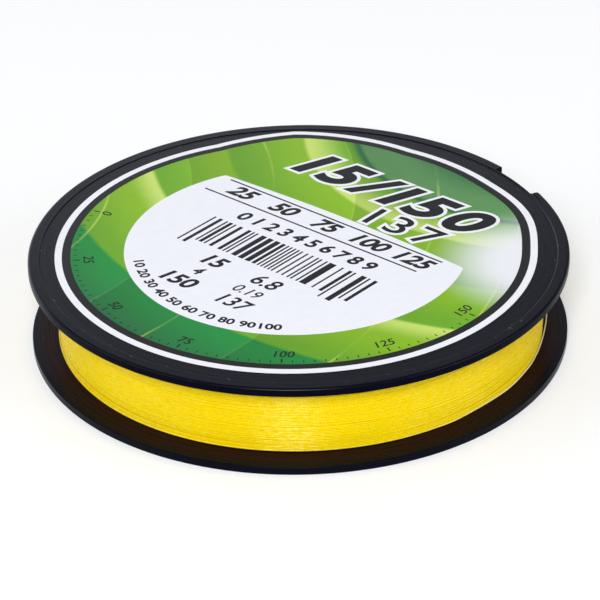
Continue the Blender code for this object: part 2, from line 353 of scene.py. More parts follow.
def inner_places(corners: np.ndarray) -> np.ndarray:
    """Places that tell whether triangles lie in a region.

    Args:
        corners: The anticlockwise corners of each triangle.

    Returns:
        Each triangle's middle, or a place just beyond the longest side of one thinner than a hair.
    """
    sides = np.roll(corners, -1, axis=1) - corners
    lengths = np.linalg.norm(sides, axis=2)
    longest = np.arange(len(corners)), lengths.argmax(axis=1)
    side, length = sides[longest], lengths[longest][:, None]
    out = np.stack([side[:, 1], -side[:, 0]], axis=-1) / length
    beyond = corners[longest] + side / 2.0 + out * HAIR * 5.0
    thin = np.abs(np.cross(sides[:, 0], sides[:, 1]))[:, None] < length * HAIR
    return np.where(thin, beyond, corners.mean(axis=1))


def fill(edges: np.ndarray, keep: Callable[[np.ndarray], np.ndarray]) -> tuple[np.ndarray, np.ndarray]:
    """Cut the plane into triangles along edges, which may cross, and keep some of them.

    Args:
        edges: One edge in each row, as its start and its end.
        keep: Tells from a place in each triangle which ones are kept.

    Returns:
        The points, and the kept triangles as rows of their numbers.
    """
    corners = [Vector(corner) for corner in edges.reshape(-1, 2)]
    pairs = [(2 * index, 2 * index + 1) for index in range(len(edges))]
    whole_plane = 0
    spots, _, faces, *_ = delaunay_2d_cdt(corners, pairs, [], whole_plane, HAIR / 2.0)
    points = np.array([tuple(spot) for spot in spots])
    triangles = np.array(faces)
    return points, triangles[keep(inner_places(points[triangles]))]


def open_sides(triangles: np.ndarray) -> list[tuple[int, int]]:
    """Sides, with their triangles on the left, that no second triangle shares."""
    sides = [tuple(side) for pair in ((0, 1), (1, 2), (2, 0)) for side in triangles[:, pair].tolist()]
    return sorted(set(sides) - {(end, start) for start, end in sides})


def loop_edges(*outlines: Sequence[Point]) -> np.ndarray:
    """Edges of closed outlines, one in each row, as its start and its end."""
    loops = [np.array(outline) for outline in outlines]
    return np.concatenate([np.stack([loop, np.roll(loop, -1, axis=0)], axis=1) for loop in loops])


def widened(loops: Sequence[np.ndarray], amount: float) -> np.ndarray:
    """Move outlines outwards, with mitred corners.

    Args:
        loops: Closed outlines, the outer ones anticlockwise and holes clockwise.
        amount: How far they move.

    Returns:
        Edges of the widened region, with the region on their left.
    """
    strips = []
    sharpest = 0.3
    for loop in loops:
        following = np.roll(loop, -1, axis=0)
        ahead = (following - loop) / np.linalg.norm(following - loop, axis=1, keepdims=True)
        out = np.stack([ahead[:, 1], -ahead[:, 0]], axis=-1)
        before = np.roll(out, 1, axis=0)
        even = np.maximum(1.0 + np.sum(out * before, axis=1, keepdims=True), sharpest)
        moved = loop + amount * (out + before) / even
        strip = np.stack([loop, moved, np.roll(moved, -1, axis=0), following], axis=1)
        strips.append(np.stack([strip, np.roll(strip, -1, axis=1)], axis=2))
    own = loop_edges(*loops)
    added = np.concatenate(strips)

    def covered(places: np.ndarray) -> np.ndarray:
        """Whether places lie in the outlines or in a strip along them."""
        beside = [turns_round(places, strip) != 0 for strip in added]
        return (turns_round(places, own) > 0) | np.any(beside, axis=0)

    points, triangles = fill(added.reshape(-1, 2, 2), covered)
    return points[np.array(open_sides(triangles))]


def add_region(mesh: Mesh, edges: np.ndarray, low: float, high: float) -> None:
    """Add a flat plate of all that edges go round.

    Args:
        mesh: Mesh to add to.
        edges: Edges with the region on their left. Regions may overlap.
        low: Height of its underside.
        high: Height of its top.
    """
    points, triangles = fill(edges, lambda places: turns_round(places, edges) > 0)
    floors: dict[int, bmesh.types.BMVert] = {}
    roofs: dict[int, bmesh.types.BMVert] = {}
    for index in np.unique(triangles).tolist():
        floors[index] = mesh.verts.new(Vector((*points[index], low)) * MM)
        roofs[index] = mesh.verts.new(Vector((*points[index], high)) * MM)
    for triangle in triangles.tolist():
        mesh.faces.new([roofs[index] for index in triangle])
        mesh.faces.new([floors[index] for index in reversed(triangle)])
    for start, end in open_sides(triangles):
        mesh.faces.new((floors[start], floors[end], roofs[end], roofs[start]))


def radial_plates(section: Sequence[Point], thickness: float, azimuths: Iterable[float]) -> Mesh:
    """Closed plates of one half section, each standing along its own azimuth.

    Args:
        section: Corners of each plate as (radius, height).
        thickness: Thickness of the plates.
        azimuths: Where the plates stand.

    Returns:
        A new mesh that holds the plates.
    """
    mesh = bmesh.new()
    for azimuth in azimuths:
        turn = Matrix.Rotation(math.radians(azimuth), 3, "Z")
        corners = [turn @ Vector((r, -thickness / 2.0, z)) * MM for r, z in section]
        add_prism(mesh, corners, turn @ Vector((0.0, thickness, 0.0)) * MM)
    return mesh


def combine(body: Piece, tool: Mesh, join: Join) -> None:
    """Cut a tool body out of a piece, or join it to the piece.

    Args:
        body: The piece, whose mesh is replaced.
        tool: Closed tool body, which is freed.
        join: Whether the tool is added or taken away.
    """
    helper = new_piece("tool", tool, smooth=False)
    modifier = body.modifiers.new("combine", "BOOLEAN")
    modifier.operation = join.value
    modifier.solver = "EXACT"
    modifier.object = helper
    graph = bpy.context.evaluated_depsgraph_get()
    result = bpy.data.meshes.new_from_object(body.evaluated_get(graph))
    body.modifiers.clear()
    spent = body.data
    body.data = result
    bpy.data.meshes.remove(spent)
    bpy.data.objects.remove(helper, do_unlink=True)


def smooth_points(knots: Sequence[Vector], spacing_m: float) -> list[Vector]:
    """Evenly spaced points along a Catmull-Rom curve.

    Args:
        knots: Points that the curve passes through, in metres.
        spacing_m: Distance between the points in metres.

    Returns:
        The points in order.
    """
    ends = [2.0 * knots[0] - knots[1], *knots, 2.0 * knots[-1] - knots[-2]]
    steps = 24
    fine: list[Vector] = []
    for before, start, end, after in zip(ends, ends[1:], ends[2:], ends[3:]):
        for step in range(steps):
            t = step / steps
            bend = (2.0 * before - 5.0 * start + 4.0 * end - after) * t**2
            twist = (3.0 * start - before - 3.0 * end + after) * t**3
            fine.append(0.5 * (2.0 * start + (end - before) * t + bend + twist))
    fine.append(knots[-1])
    table = np.array([tuple(point) for point in fine])
    reach = np.concatenate(([0.0], np.cumsum(np.linalg.norm(np.diff(table, axis=0), axis=1))))
    wanted = np.linspace(0.0, reach[-1], max(2, round(reach[-1] / spacing_m)) + 1)
    columns = [np.interp(wanted, reach, table[:, axis]) for axis in range(3)]
    return [Vector(point) for point in zip(*columns)]


@dataclass
class StrandMesh:
    """Collects tubes that follow paths of points, with the run along each tube in its UV map.

    Attributes:
        width: Size of the tube along the spool's axis.
        thickness: Size of the tube across that.
        sides: Faces round the tube.
    """

    width: float
    thickness: float
    sides: int = 8

    def __post_init__(self) -> None:
        """Start with no tubes."""
        self.verts: list[np.ndarray] = []
        self.faces: list[np.ndarray] = []
        self.runs: list[np.ndarray] = []
        self.count = 0

    def add(self, path: np.ndarray, run_start: float = 0.0) -> float:
        """Add one closed tube.

        Args:
            path: Points of the path, one row each.
            run_start: Length that the UV map starts from.

        Returns:
            The length at the path's end.
        """
        ahead = np.gradient(path, axis=0)
        ahead /= np.linalg.norm(ahead, axis=1, keepdims=True)
        outward = path * np.array([1.0, 1.0, 0.0])
        outward /= np.linalg.norm(outward, axis=1, keepdims=True)
        outward -= ahead * np.sum(outward * ahead, axis=1, keepdims=True)
        outward /= np.linalg.norm(outward, axis=1, keepdims=True)
        across = np.cross(ahead, outward)
        angles = np.arange(self.sides) * math.tau / self.sides
        swing = np.cos(angles)[None, :, None] * outward[:, None, :] * self.thickness / 2.0
        sway = np.sin(angles)[None, :, None] * across[:, None, :] * self.width / 2.0
        rings = path[:, None, :] + swing + sway
        rows, sides = len(path), self.sides
        length = np.linalg.norm(np.diff(path, axis=0), axis=1)
        run = run_start + np.concatenate(([0.0], np.cumsum(length)))
        row, side = np.meshgrid(np.arange(rows - 1), np.arange(sides), indexing="ij")
        after = (side + 1) % sides
        low, high = row * sides, (row + 1) * sides
        quads = np.stack([low + side, low + after, high + after, high + side], axis=-1)
        u = np.stack([run[row], run[row], run[row + 1], run[row + 1]], axis=-1).reshape(-1)
        v = np.stack([side, side + 1, side + 1, side], axis=-1).reshape(-1) / sides
        self.verts.append(rings.reshape(-1, 3))
        self.faces.append(quads.reshape(-1, 4) + self.count)
        self.runs.append(np.stack([u, v], axis=-1))
        self.count += rows * sides
        return float(run[-1])

    def build(self, name: str) -> Piece:
        """Make the object, with the tubes' ends closed.

        Args:
            name: Name of the piece.

        Returns:
            The new object.
        """
        data = bpy.data.meshes.new(name)
        quads = np.concatenate(self.faces)
        caps = []
        for verts, faces in zip(self.verts, self.faces):
            first = int(faces.min())
            last = first + len(verts) - self.sides
            caps.append([first + side for side in reversed(range(self.sides))])
            caps.append([last + side for side in range(self.sides)])
        data.from_pydata((np.concatenate(self.verts) * MM).tolist(), [], quads.tolist() + caps)
        layer = data.uv_layers.new(name="run")
        flat = np.concatenate(self.runs).reshape(-1)
        flat = np.concatenate([flat, np.zeros(2 * self.sides * len(caps))])
        layer.data.foreach_set("uv", flat.astype(np.float32))
        shade(data, STRAND_SHARP_DEG)
        return placed(name, data)


def eased(share: np.ndarray) -> np.ndarray:
    """A share from 0 to 1, eased in and out."""
    return share * share * (3.0 - 2.0 * share)


def wander(rng: np.random.Generator, azimuths: np.ndarray, knot_deg: float, amount: float) -> np.ndarray:
    """A smooth random offset along a run.

    Args:
        rng: Seeded random generator.
        azimuths: Rising azimuths to give an offset for.
        knot_deg: Distance between free values, in degrees.
        amount: Largest offset either way.

    Returns:
        One offset for each azimuth.
    """
    span = azimuths[-1] - azimuths[0]
    count = max(3, int(span / knot_deg) + 2)
    knots = rng.uniform(-amount, amount, count)
    place = (azimuths - azimuths[0]) / span * (count - 1)
    index = np.minimum(place.astype(int), count - 2)
    ease = eased(place - index)
    return knots[index] * (1.0 - ease) + knots[index + 1] * ease


# ---------------- materials


def rgba(colour: Value) -> Value:
    """A plain colour with full alpha, or a socket as it is."""
    return colour if isinstance(colour, Socket) else (*colour[:3], 1.0)


class Tree:
    """Adds nodes and links to one node tree."""

    def __init__(self, tree: Group) -> None:
        """Start on a node tree."""
        self.tree = tree

    def add(self, kind: str, **settings: object) -> bpy.types.Node:
        """Add a node.

        Args:
            kind: The node's type.
            **settings: Properties to set on it.

        Returns:
            The new node.
        """
        made = self.tree.nodes.new(kind)
        for key, value in settings.items():
            setattr(made, key, value)
        return made

    def feed(self, socket: Socket, value: Value) -> None:
        """Link a socket, or set its value.

        Args:
            socket: The input.
            value: An output to link from, or a plain value.
        """
        if isinstance(value, Socket):
            self.tree.links.new(value, socket)
        else:
            socket.default_value = value

    def node(self, kind: str, values: Mapping[str | int, Value], out: int = 0, **settings: object) -> Socket:
        """Add a node and feed its inputs.

        Args:
            kind: The node's type.
            values: What its inputs get, by name or number.
            out: Number of the output that is used.
            **settings: Properties to set on it.

        Returns:
            That output.
        """
        made = self.add(kind, **settings)
        for key, value in values.items():
            self.feed(made.inputs[key], value)
        return made.outputs[out]

    def maths(self, operation: str, *values: Value) -> Socket:
        """Result of a Math node."""
        return self.node("ShaderNodeMath", dict(enumerate(values)), operation=operation)

    def vector(self, operation: str, *values: Value, out: int = 0) -> Socket:
        """Result of a Vector Math node: 0 is its vector and 1 its value."""
        return self.node("ShaderNodeVectorMath", dict(enumerate(values)), out, operation=operation)

    def join(self, *parts: Value) -> Socket:
        """A vector made of its parts."""
        return self.node("ShaderNodeCombineXYZ", dict(enumerate(parts)))

    def split(self, vector: Value, part: int) -> Socket:
        """One part of a vector."""
        return self.node("ShaderNodeSeparateXYZ", {0: vector}, part)

    def noise(self, vector: Value, scale: Value, detail: float = 2.0, roughness: float = 0.5) -> Socket:
        """Grey value of a Noise Texture."""
        values = {"Vector": vector, "Scale": scale, "Detail": detail, "Roughness": roughness}
        return self.node("ShaderNodeTexNoise", values)

    def stretched(self, place: Value, scales: Sequence[float], detail: float, roughness: float) -> Socket:
        """Grey value of a noise whose scale differs along each axis."""
        return self.noise(self.vector("MULTIPLY", place, scales), 1.0, detail, roughness)

    def span(
        self, value: Value, low: Value, high: Value, out: Point = (0.0, 1.0), soft: bool = True
    ) -> Socket:
        """Map a value from one range to another and hold it inside that, eased in and out if soft."""
        values = dict(enumerate((value, low, high, *out)))
        return self.node("ShaderNodeMapRange", values, interpolation_type="SMOOTHSTEP" if soft else "LINEAR")

    def mix(self, share: Value, first: Value, second: Value, blend: str = "MIX") -> Socket:
        """Mix of two colours, with a share of the second."""
        values = {0: share, 6: rgba(first), 7: rgba(second)}
        return self.node("ShaderNodeMix", values, 2, data_type="RGBA", blend_type=blend)

    def ramp(self, share: Value, stops: Sequence[tuple[float, Rgb]]) -> Socket:
        """Add a Color Ramp.

        Args:
            share: Place on the ramp.
            stops: Places and their colours.

        Returns:
            The colour's output.
        """
        made = self.add("ShaderNodeValToRGB")
        made.color_ramp.interpolation = "EASE"
        elements = made.color_ramp.elements
        while len(elements) < len(stops):
            elements.new(0.5)
        for element, (place, colour) in zip(elements, stops):
            element.position = place
            element.color = rgba(colour)
        self.feed(made.inputs[0], share)
        return made.outputs[0]

    def bump(self, height: Value, strength: float, depth: float, **more: Value) -> Socket:
        """Normal of a Bump node whose full height is given in millimetres."""
        values = {"Strength": strength, "Distance": depth * MM, "Height": height, **more}
        return self.node("ShaderNodeBump", values)

    def place_mm(self) -> Socket:
        """The point on the piece, in millimetres."""
        spot = self.add("ShaderNodeTexCoord").outputs["Object"]
        return self.vector("MULTIPLY", spot, (1.0 / MM,) * 3)

    def flattened(self, place: Value) -> Socket:
        """A place moved down to the spool's underside."""
        return self.vector("MULTIPLY", place, (1.0, 1.0, 0.0))

    def group(self, group: Group, values: Mapping[str, Value]) -> Mapping[str, Socket]:
        """Place a node group.

        Args:
            group: The group.
            values: What its inputs get, by name.

        Returns:
            Its outputs by name.
        """
        made = self.add("ShaderNodeGroup", node_tree=group)
        for key, value in values.items():
            self.feed(made.inputs[key], value)
        return made.outputs


class Effect(Tree):
    """A node group in the making."""

    def __init__(self, name: str, inputs: Mapping[str, float | None], outputs: Sequence[str]) -> None:
        """Make an empty group with named sockets.

        Args:
            name: Name of the group.
            inputs: Its inputs by name. A number is a value's default, and None stands for a vector.
            outputs: Names of the values that it gives.
        """
        super().__init__(bpy.data.node_groups.new(name, "ShaderNodeTree"))
        sockets = self.tree.interface
        for label, value in inputs.items():
            kind = "NodeSocketVector" if value is None else "NodeSocketFloat"
            socket = sockets.new_socket(name=label, in_out="INPUT", socket_type=kind)
            if value is not None:
                socket.default_value = value
        for label in outputs:
            sockets.new_socket(name=label, in_out="OUTPUT", socket_type="NodeSocketFloat")
        self.given = self.add("NodeGroupInput").outputs
        self.result = self.add("NodeGroupOutput").inputs


@cache
def mottle() -> Group:
    """Slow and fine variation of tone.

    Returns:
        The group, which gives a value round 1 that a colour is multiplied by.
    """
    draft = Effect("tone_mottle", {"Scale": 0.3, "Amount": 0.1}, ["Tone"])
    slow = draft.noise(draft.place_mm(), draft.given["Scale"], 4.0, 0.6)
    swing = draft.maths("SUBTRACT", slow, 0.5)
    twice = draft.maths("MULTIPLY", draft.given["Amount"], 2.0)
    draft.feed(draft.result["Tone"], draft.maths("MULTIPLY_ADD", swing, twice, 1.0))
    return draft.tree


@cache
def grain() -> Group:
    """Fine grain of a moulded or rolled surface.

    Returns:
        The group, which gives a height.
    """
    draft = Effect("surface_grain", {"Scale": 6.0}, ["Height"])
    draft.feed(draft.result["Height"], draft.noise(draft.place_mm(), draft.given["Scale"], 5.0, 0.62))
    return draft.tree


@cache
def turned_skin() -> Group:
    """Marks of a turned mould: fine lines, dirt specks, and painted glints and a pale line along the step.

    Returns:
        The group, which gives the lines as a height, and the specks and the crease as masks.
    """
    inputs = {"Crease Radius": 42.6, "Speck Level": 0.65}
    draft = Effect("turned_skin", inputs, ["Lines", "Specks", "Crease"])
    spot = draft.place_mm()
    flat = draft.flattened(spot)
    radius = draft.vector("LENGTH", flat, out=1)
    rim_r = 42.0
    line_scales, speck_scales, crease_scales = (0.03, 0.03, 6.0), (1.1, 1.1, 2.6), (0.16, 0.16, 0.3)
    along = draft.vector("MULTIPLY", draft.vector("NORMALIZE", flat), (rim_r, rim_r, 0.0))
    across = draft.maths("ADD", radius, draft.split(spot, 2))
    skin = draft.vector("ADD", along, draft.join(0.0, 0.0, across))
    draft.feed(draft.result["Lines"], draft.stretched(skin, line_scales, 4.0, 0.7))
    off = draft.maths("ABSOLUTE", draft.maths("SUBTRACT", radius, draft.given["Crease Radius"]))
    # Specks gather along the crease at the step, where they are painted glints of its edge; the sparse ones
    # elsewhere are dirt.
    level = draft.given["Speck Level"]
    spots = draft.stretched(skin, speck_scales, 3.0, 0.6)
    dots = draft.span(spots, level, draft.maths("ADD", level, 0.03))
    near = draft.span(off, 0.15, 0.9, (1.0, 0.06))
    draft.feed(draft.result["Specks"], draft.maths("MULTIPLY", dots, near))
    # The crease mask is a patchy pale line along the step: a painted highlight of its edge.
    crease_noise = draft.stretched(skin, crease_scales, 3.0, 0.6)
    edge = draft.span(off, 0.04, 0.16, (1.0, 0.0))
    draft.feed(draft.result["Crease"], draft.maths("MULTIPLY", draft.span(crease_noise, 0.42, 0.66), edge))
    return draft.tree


@cache
def line_braid() -> Group:
    """Crossing fibre bundles of a braided line, from the run along the strand and the way round it.

    Returns:
        The group, which gives the bundles' height and the slow change of tone along the line.
    """
    draft = Effect("line_braid", {"Vector": None, "Pitch": 0.5}, ["Height", "Tone"])
    run, round_it = (draft.split(draft.given["Vector"], part) for part in (0, 1))
    along = draft.maths("DIVIDE", run, draft.given["Pitch"])
    around = draft.maths("MULTIPLY", round_it, 2.0)
    one_way = draft.maths("PINGPONG", draft.maths("ADD", along, around), 0.5)
    other_way = draft.maths("PINGPONG", draft.maths("SUBTRACT", along, around), 0.5)
    height = draft.maths("MULTIPLY", draft.maths("MAXIMUM", one_way, other_way), 2.0)
    draft.feed(draft.result["Height"], height)
    slow = draft.stretched(draft.given["Vector"], (0.9, 1.0, 0.0), 3.0, 0.55)
    draft.feed(draft.result["Tone"], draft.span(slow, 0.32, 0.68))
    return draft.tree


class Skin(Tree):
    """Adds nodes to a new material and feeds its Principled shader."""

    def __init__(self, name: str) -> None:
        """Start a node material.

        Args:
            name: Name of the material.
        """
        self.material = bpy.data.materials.new(name)
        self.material.use_nodes = True
        super().__init__(self.material.node_tree)
        self.shader = self.tree.nodes["Principled BSDF"].inputs

    def paint(self, values: Mapping[str, Value]) -> None:
        """Feed inputs of the shader by name."""
        for key, value in values.items():
            self.feed(self.shader[key], value)

    def toned(self, colour: Value, scale: float, amount: float) -> Socket:
        """A colour whose tone varies a little over the piece."""
        tone = self.group(mottle(), {"Scale": scale, "Amount": amount})["Tone"]
        return self.mix(1.0, colour, tone, "MULTIPLY")

    def grained(self, scale: float, roughness: Point, relief: Point) -> None:
        """Give the shader a fine grain.

        Args:
            scale: Scale of the grain.
            roughness: Lowest and highest roughness.
            relief: Strength and full height of the relief.
        """
        height = self.group(grain(), {"Scale": scale})["Height"]
        self.paint({
            "Roughness": self.span(height, 0.3, 0.7, roughness),
            "Normal": self.bump(height, *relief),
        })


class Finish:
    """A finish that a piece is dressed in."""

    def make(self, name: str) -> bpy.types.Material:
        """Make the finish.

        Args:
            name: Name of the material.

        Returns:
            The material.
        """
        skin = Skin(name)
        self.lay(skin)
        return skin.material

    def lay(self, skin: Skin) -> None:
        """Build the finish on a new material."""
        raise NotImplementedError


@dataclass(frozen=True)
class MouldedPlastic(Finish):
    """Moulded plastic with turning marks, grain, dirt specks, painted glints along the step and a painted
    reflection.

    Attributes:
        colour: Base colour.
        dust_and_glint: Pale colour of the specks and the crease line: dirt away from the step, painted
            glints on it.
        tone: Scale and amount of the change of tone.
        roughness: Lowest and highest roughness between the specks.
        ior: Index of refraction, for the gloss.
        gloss: Level of the gloss.
        wall_gloss: Share of the gloss on upright walls, whose mould is left dull.
        wall_tilt: How level a wall is at most, and a face at least.
        turning: Strength and full height of the concentric marks.
        grain_scale: Scale of the grain.
        grain_relief: Strength and full height of the grain.
        speck_level: Noise level above which a speck shows.
        speck_share: Share of the pale colour in a speck.
        speck_dull: How much rougher a speck is.
        crease_r: Radius of the painted highlight line along the step.
        crease_share: Share of the pale colour in that painted line.
        painted_reflection: Deep orange brown painted on the inner face as the yellow line's reflection in
            shade.
        painted_reflection_share: Share of it on the face.
        painted_reflection_z: Heights below which none is painted and from which it is painted in full.
        painted_reflection_r: Radii inside which it is painted and outside which the face is plain.
        painted_reflection_tilt: How level a plain surface is at most, and a painted one at least.
        painted_reflection_gloss: Share of the gloss that is left where it is painted.
    """

    colour: Rgb = (0.0012, 0.0012, 0.0060)
    dust_and_glint: Rgb = (0.30, 0.30, 0.33)
    tone: Point = (0.12, 0.25)
    roughness: Point = (0.24, 0.35)
    ior: float = 1.22
    gloss: float = 0.5
    wall_gloss: float = 0.2
    wall_tilt: Point = (0.1, 0.6)
    turning: Point = (0.20, 0.02)
    grain_scale: float = 7.0
    grain_relief: Point = (0.12, 0.02)
    speck_level: float = 0.672
    speck_share: float = 0.40
    speck_dull: float = 0.2
    crease_r: float = 42.6
    crease_share: float = 0.015
    painted_reflection: Rgb = (0.072, 0.017, 0.0)
    painted_reflection_share: float = 0.0
    painted_reflection_z: Point = (1.3, 1.4)
    painted_reflection_r: Point = (42.0, 44.2)
    painted_reflection_tilt: Point = (0.5, 0.9)
    painted_reflection_gloss: float = 0.65

    def lay(self, skin: Skin) -> None:
        """Build the finish.

        Args:
            skin: The new material's nodes.
        """
        given = {"Crease Radius": self.crease_r, "Speck Level": self.speck_level}
        marks = skin.group(turned_skin(), given)
        fine = skin.group(grain(), {"Scale": self.grain_scale})["Height"]
        base = skin.toned(self.colour, *self.tone)
        # Painted highlight: the crease line and the specks along the step are painted pale as glints of its
        # edge.
        base = skin.mix(skin.maths("MULTIPLY", marks["Crease"], self.crease_share), base, self.dust_and_glint)
        base = skin.mix(skin.maths("MULTIPLY", marks["Specks"], self.speck_share), base, self.dust_and_glint)
        level_part = skin.split(skin.add("ShaderNodeTexCoord").outputs["Normal"], 2)
        wall_and_face = (self.gloss * self.wall_gloss, self.gloss)
        level = skin.span(skin.maths("ABSOLUTE", level_part), *self.wall_tilt, wall_and_face)
        # Painted reflection: on upward faces near the winding, the yellow line's reflection in shade is
        # painted deep orange brown, and the gloss is lowered there.
        if self.painted_reflection_share > 0.0:
            spot = skin.place_mm()
            radius = skin.vector("LENGTH", skin.flattened(spot), out=1)
            inside = skin.span(radius, *self.painted_reflection_r, (1.0, 0.0))
            facing = skin.span(level_part, *self.painted_reflection_tilt)
            high = skin.span(skin.split(spot, 2), *self.painted_reflection_z)
            painted_reflection_mask = skin.maths("MULTIPLY", skin.maths("MULTIPLY", inside, facing), high)
            base = skin.mix(skin.maths("MULTIPLY", painted_reflection_mask, self.painted_reflection_share), base, self.painted_reflection)
            level = skin.maths("MULTIPLY", level, skin.span(painted_reflection_mask, 0.0, 1.0, (1.0, self.painted_reflection_gloss)))
        rough = skin.span(marks["Lines"], 0.25, 0.75, self.roughness)
        dull = skin.maths("MULTIPLY", marks["Specks"], self.speck_dull)
        normal = skin.bump(marks["Lines"], *self.turning)
        skin.paint({
            "Base Color": base,
            "Roughness": skin.maths("ADD", rough, dull),
            "Normal": skin.bump(fine, *self.grain_relief, Normal=normal),
            "IOR": self.ior,
            "Specular IOR Level": level,
        })


@dataclass(frozen=True)
class BraidedLine(Finish):
    """Braided line of many fine fibres that run along it.

    Attributes:
        bright: Colour of clean runs.
        deep: Colour of shaded runs.
        painted_valley_shade: Deeper orange painted between the fibre bundles as the shade that falls there.
        tone: Scale and amount of the change of tone.
        between: Share of that painted shade at a bundle's foot and at its crest.
        streaks: Scale of the streaks along the run and round the strand.
        patches: Scale of the glossier patches along each axis.
        clean: Cleanness at which the gloss is lowest and highest.
        pitch: Length of one braid repeat.
        relief: Strength and full height of the braid's relief.
        roughness: Roughness of shaded and of clean runs.
        shine: Lowest and highest level of the gloss.
        shine_tint: Colour of the gloss.
        stretch: How far the gloss spreads across the fibres.
        fibre_turn: Turn of that spread from the run, as a share of a full turn.
        ior: Index of refraction, for the gloss.
        painted_end_shade: Greyer colour painted on the run's far end as the shade it lies in.
        painted_end_shade_run: Run at which that painted shade begins and at which it is full.
    """

    bright: Rgb
    deep: Rgb
    painted_valley_shade: Rgb
    tone: Point = (0.08, 0.1)
    between: Point = (0.50, 0.0)
    streaks: tuple[float, float, float] = (0.9, 1.0, 0.0)
    patches: tuple[float, float, float] = (0.5, 0.5, 2.2)
    clean: Point = (0.08, 0.46)
    pitch: float = 0.55
    relief: Point = (0.24, 0.03)
    roughness: Point = (0.45, 0.33)
    shine: Point = (0.125, 4.375)
    shine_tint: Rgb = (1.0, 0.98, 0.50)
    stretch: float = 1.0
    fibre_turn: float = 0.25
    ior: float = 1.20
    painted_end_shade: Rgb | None = None
    painted_end_shade_run: Point = (0.0, 1.0)

    def lay(self, skin: Skin) -> None:
        """Build the finish.

        Args:
            skin: The new material's nodes.
        """
        run = skin.add("ShaderNodeUVMap", uv_map="run").outputs[0]
        fibres = skin.add("ShaderNodeTangent", direction_type="UV_MAP", uv_map="run").outputs[0]
        braid = skin.group(line_braid(), {"Vector": run, "Pitch": self.pitch})
        tone_and_end_shade = skin.mix(braid["Tone"], self.deep, self.bright)
        # Painted shade: the far end of the run, where the strand rises off the winding, turns a greyer
        # colour.
        if self.painted_end_shade is not None:
            tone_and_end_shade = skin.mix(skin.span(skin.split(run, 0), *self.painted_end_shade_run), tone_and_end_shade, self.painted_end_shade)
        tone_and_end_shade = skin.toned(tone_and_end_shade, *self.tone)
        # Painted shade: low ground between the fibre bundles is mixed towards a deeper orange.
        between = skin.span(braid["Height"], 0.0, 0.7, self.between)
        streaks = skin.stretched(run, self.streaks, 3.0, 0.55)
        patches = skin.stretched(skin.place_mm(), self.patches, 2.0, 0.5)
        clean = skin.maths("MULTIPLY", skin.span(streaks, 0.32, 0.68), patches)
        skin.paint({
            "Base Color": skin.mix(between, tone_and_end_shade, self.painted_valley_shade),
            "Roughness": skin.span(braid["Tone"], 0.0, 1.0, self.roughness),
            "Normal": skin.bump(braid["Height"], *self.relief),
            "Tangent": fibres,
            "Anisotropic": self.stretch,
            "Anisotropic Rotation": self.fibre_turn,
            "Specular IOR Level": skin.span(clean, *self.clean, self.shine),
            "Specular Tint": rgba(self.shine_tint),
            "IOR": self.ior,
        })


@dataclass(frozen=True)
class PlainFilm(Finish):
    """Film, ink or tape of one colour, with the faint unevenness of print or of creases.

    Attributes:
        colour: Base colour.
        roughness: Lowest and highest roughness.
        uneven: How much the tone varies.
        patches: Scale of the tone's patches.
        grain_scale: Scale of the grain.
        relief: Strength and full height of the grain's relief.
        ior: Index of refraction, for the gloss.
    """

    colour: Rgb
    roughness: Point = (0.32, 0.42)
    uneven: float = 0.06
    patches: float = 0.5
    grain_scale: float = 4.0
    relief: Point = (0.06, 0.02)
    ior: float = 1.18

    def lay(self, skin: Skin) -> None:
        """Build the finish.

        Args:
            skin: The new material's nodes.
        """
        skin.grained(self.grain_scale, self.roughness, self.relief)
        skin.paint({"Base Color": skin.toned(self.colour, self.patches, self.uneven), "IOR": self.ior})


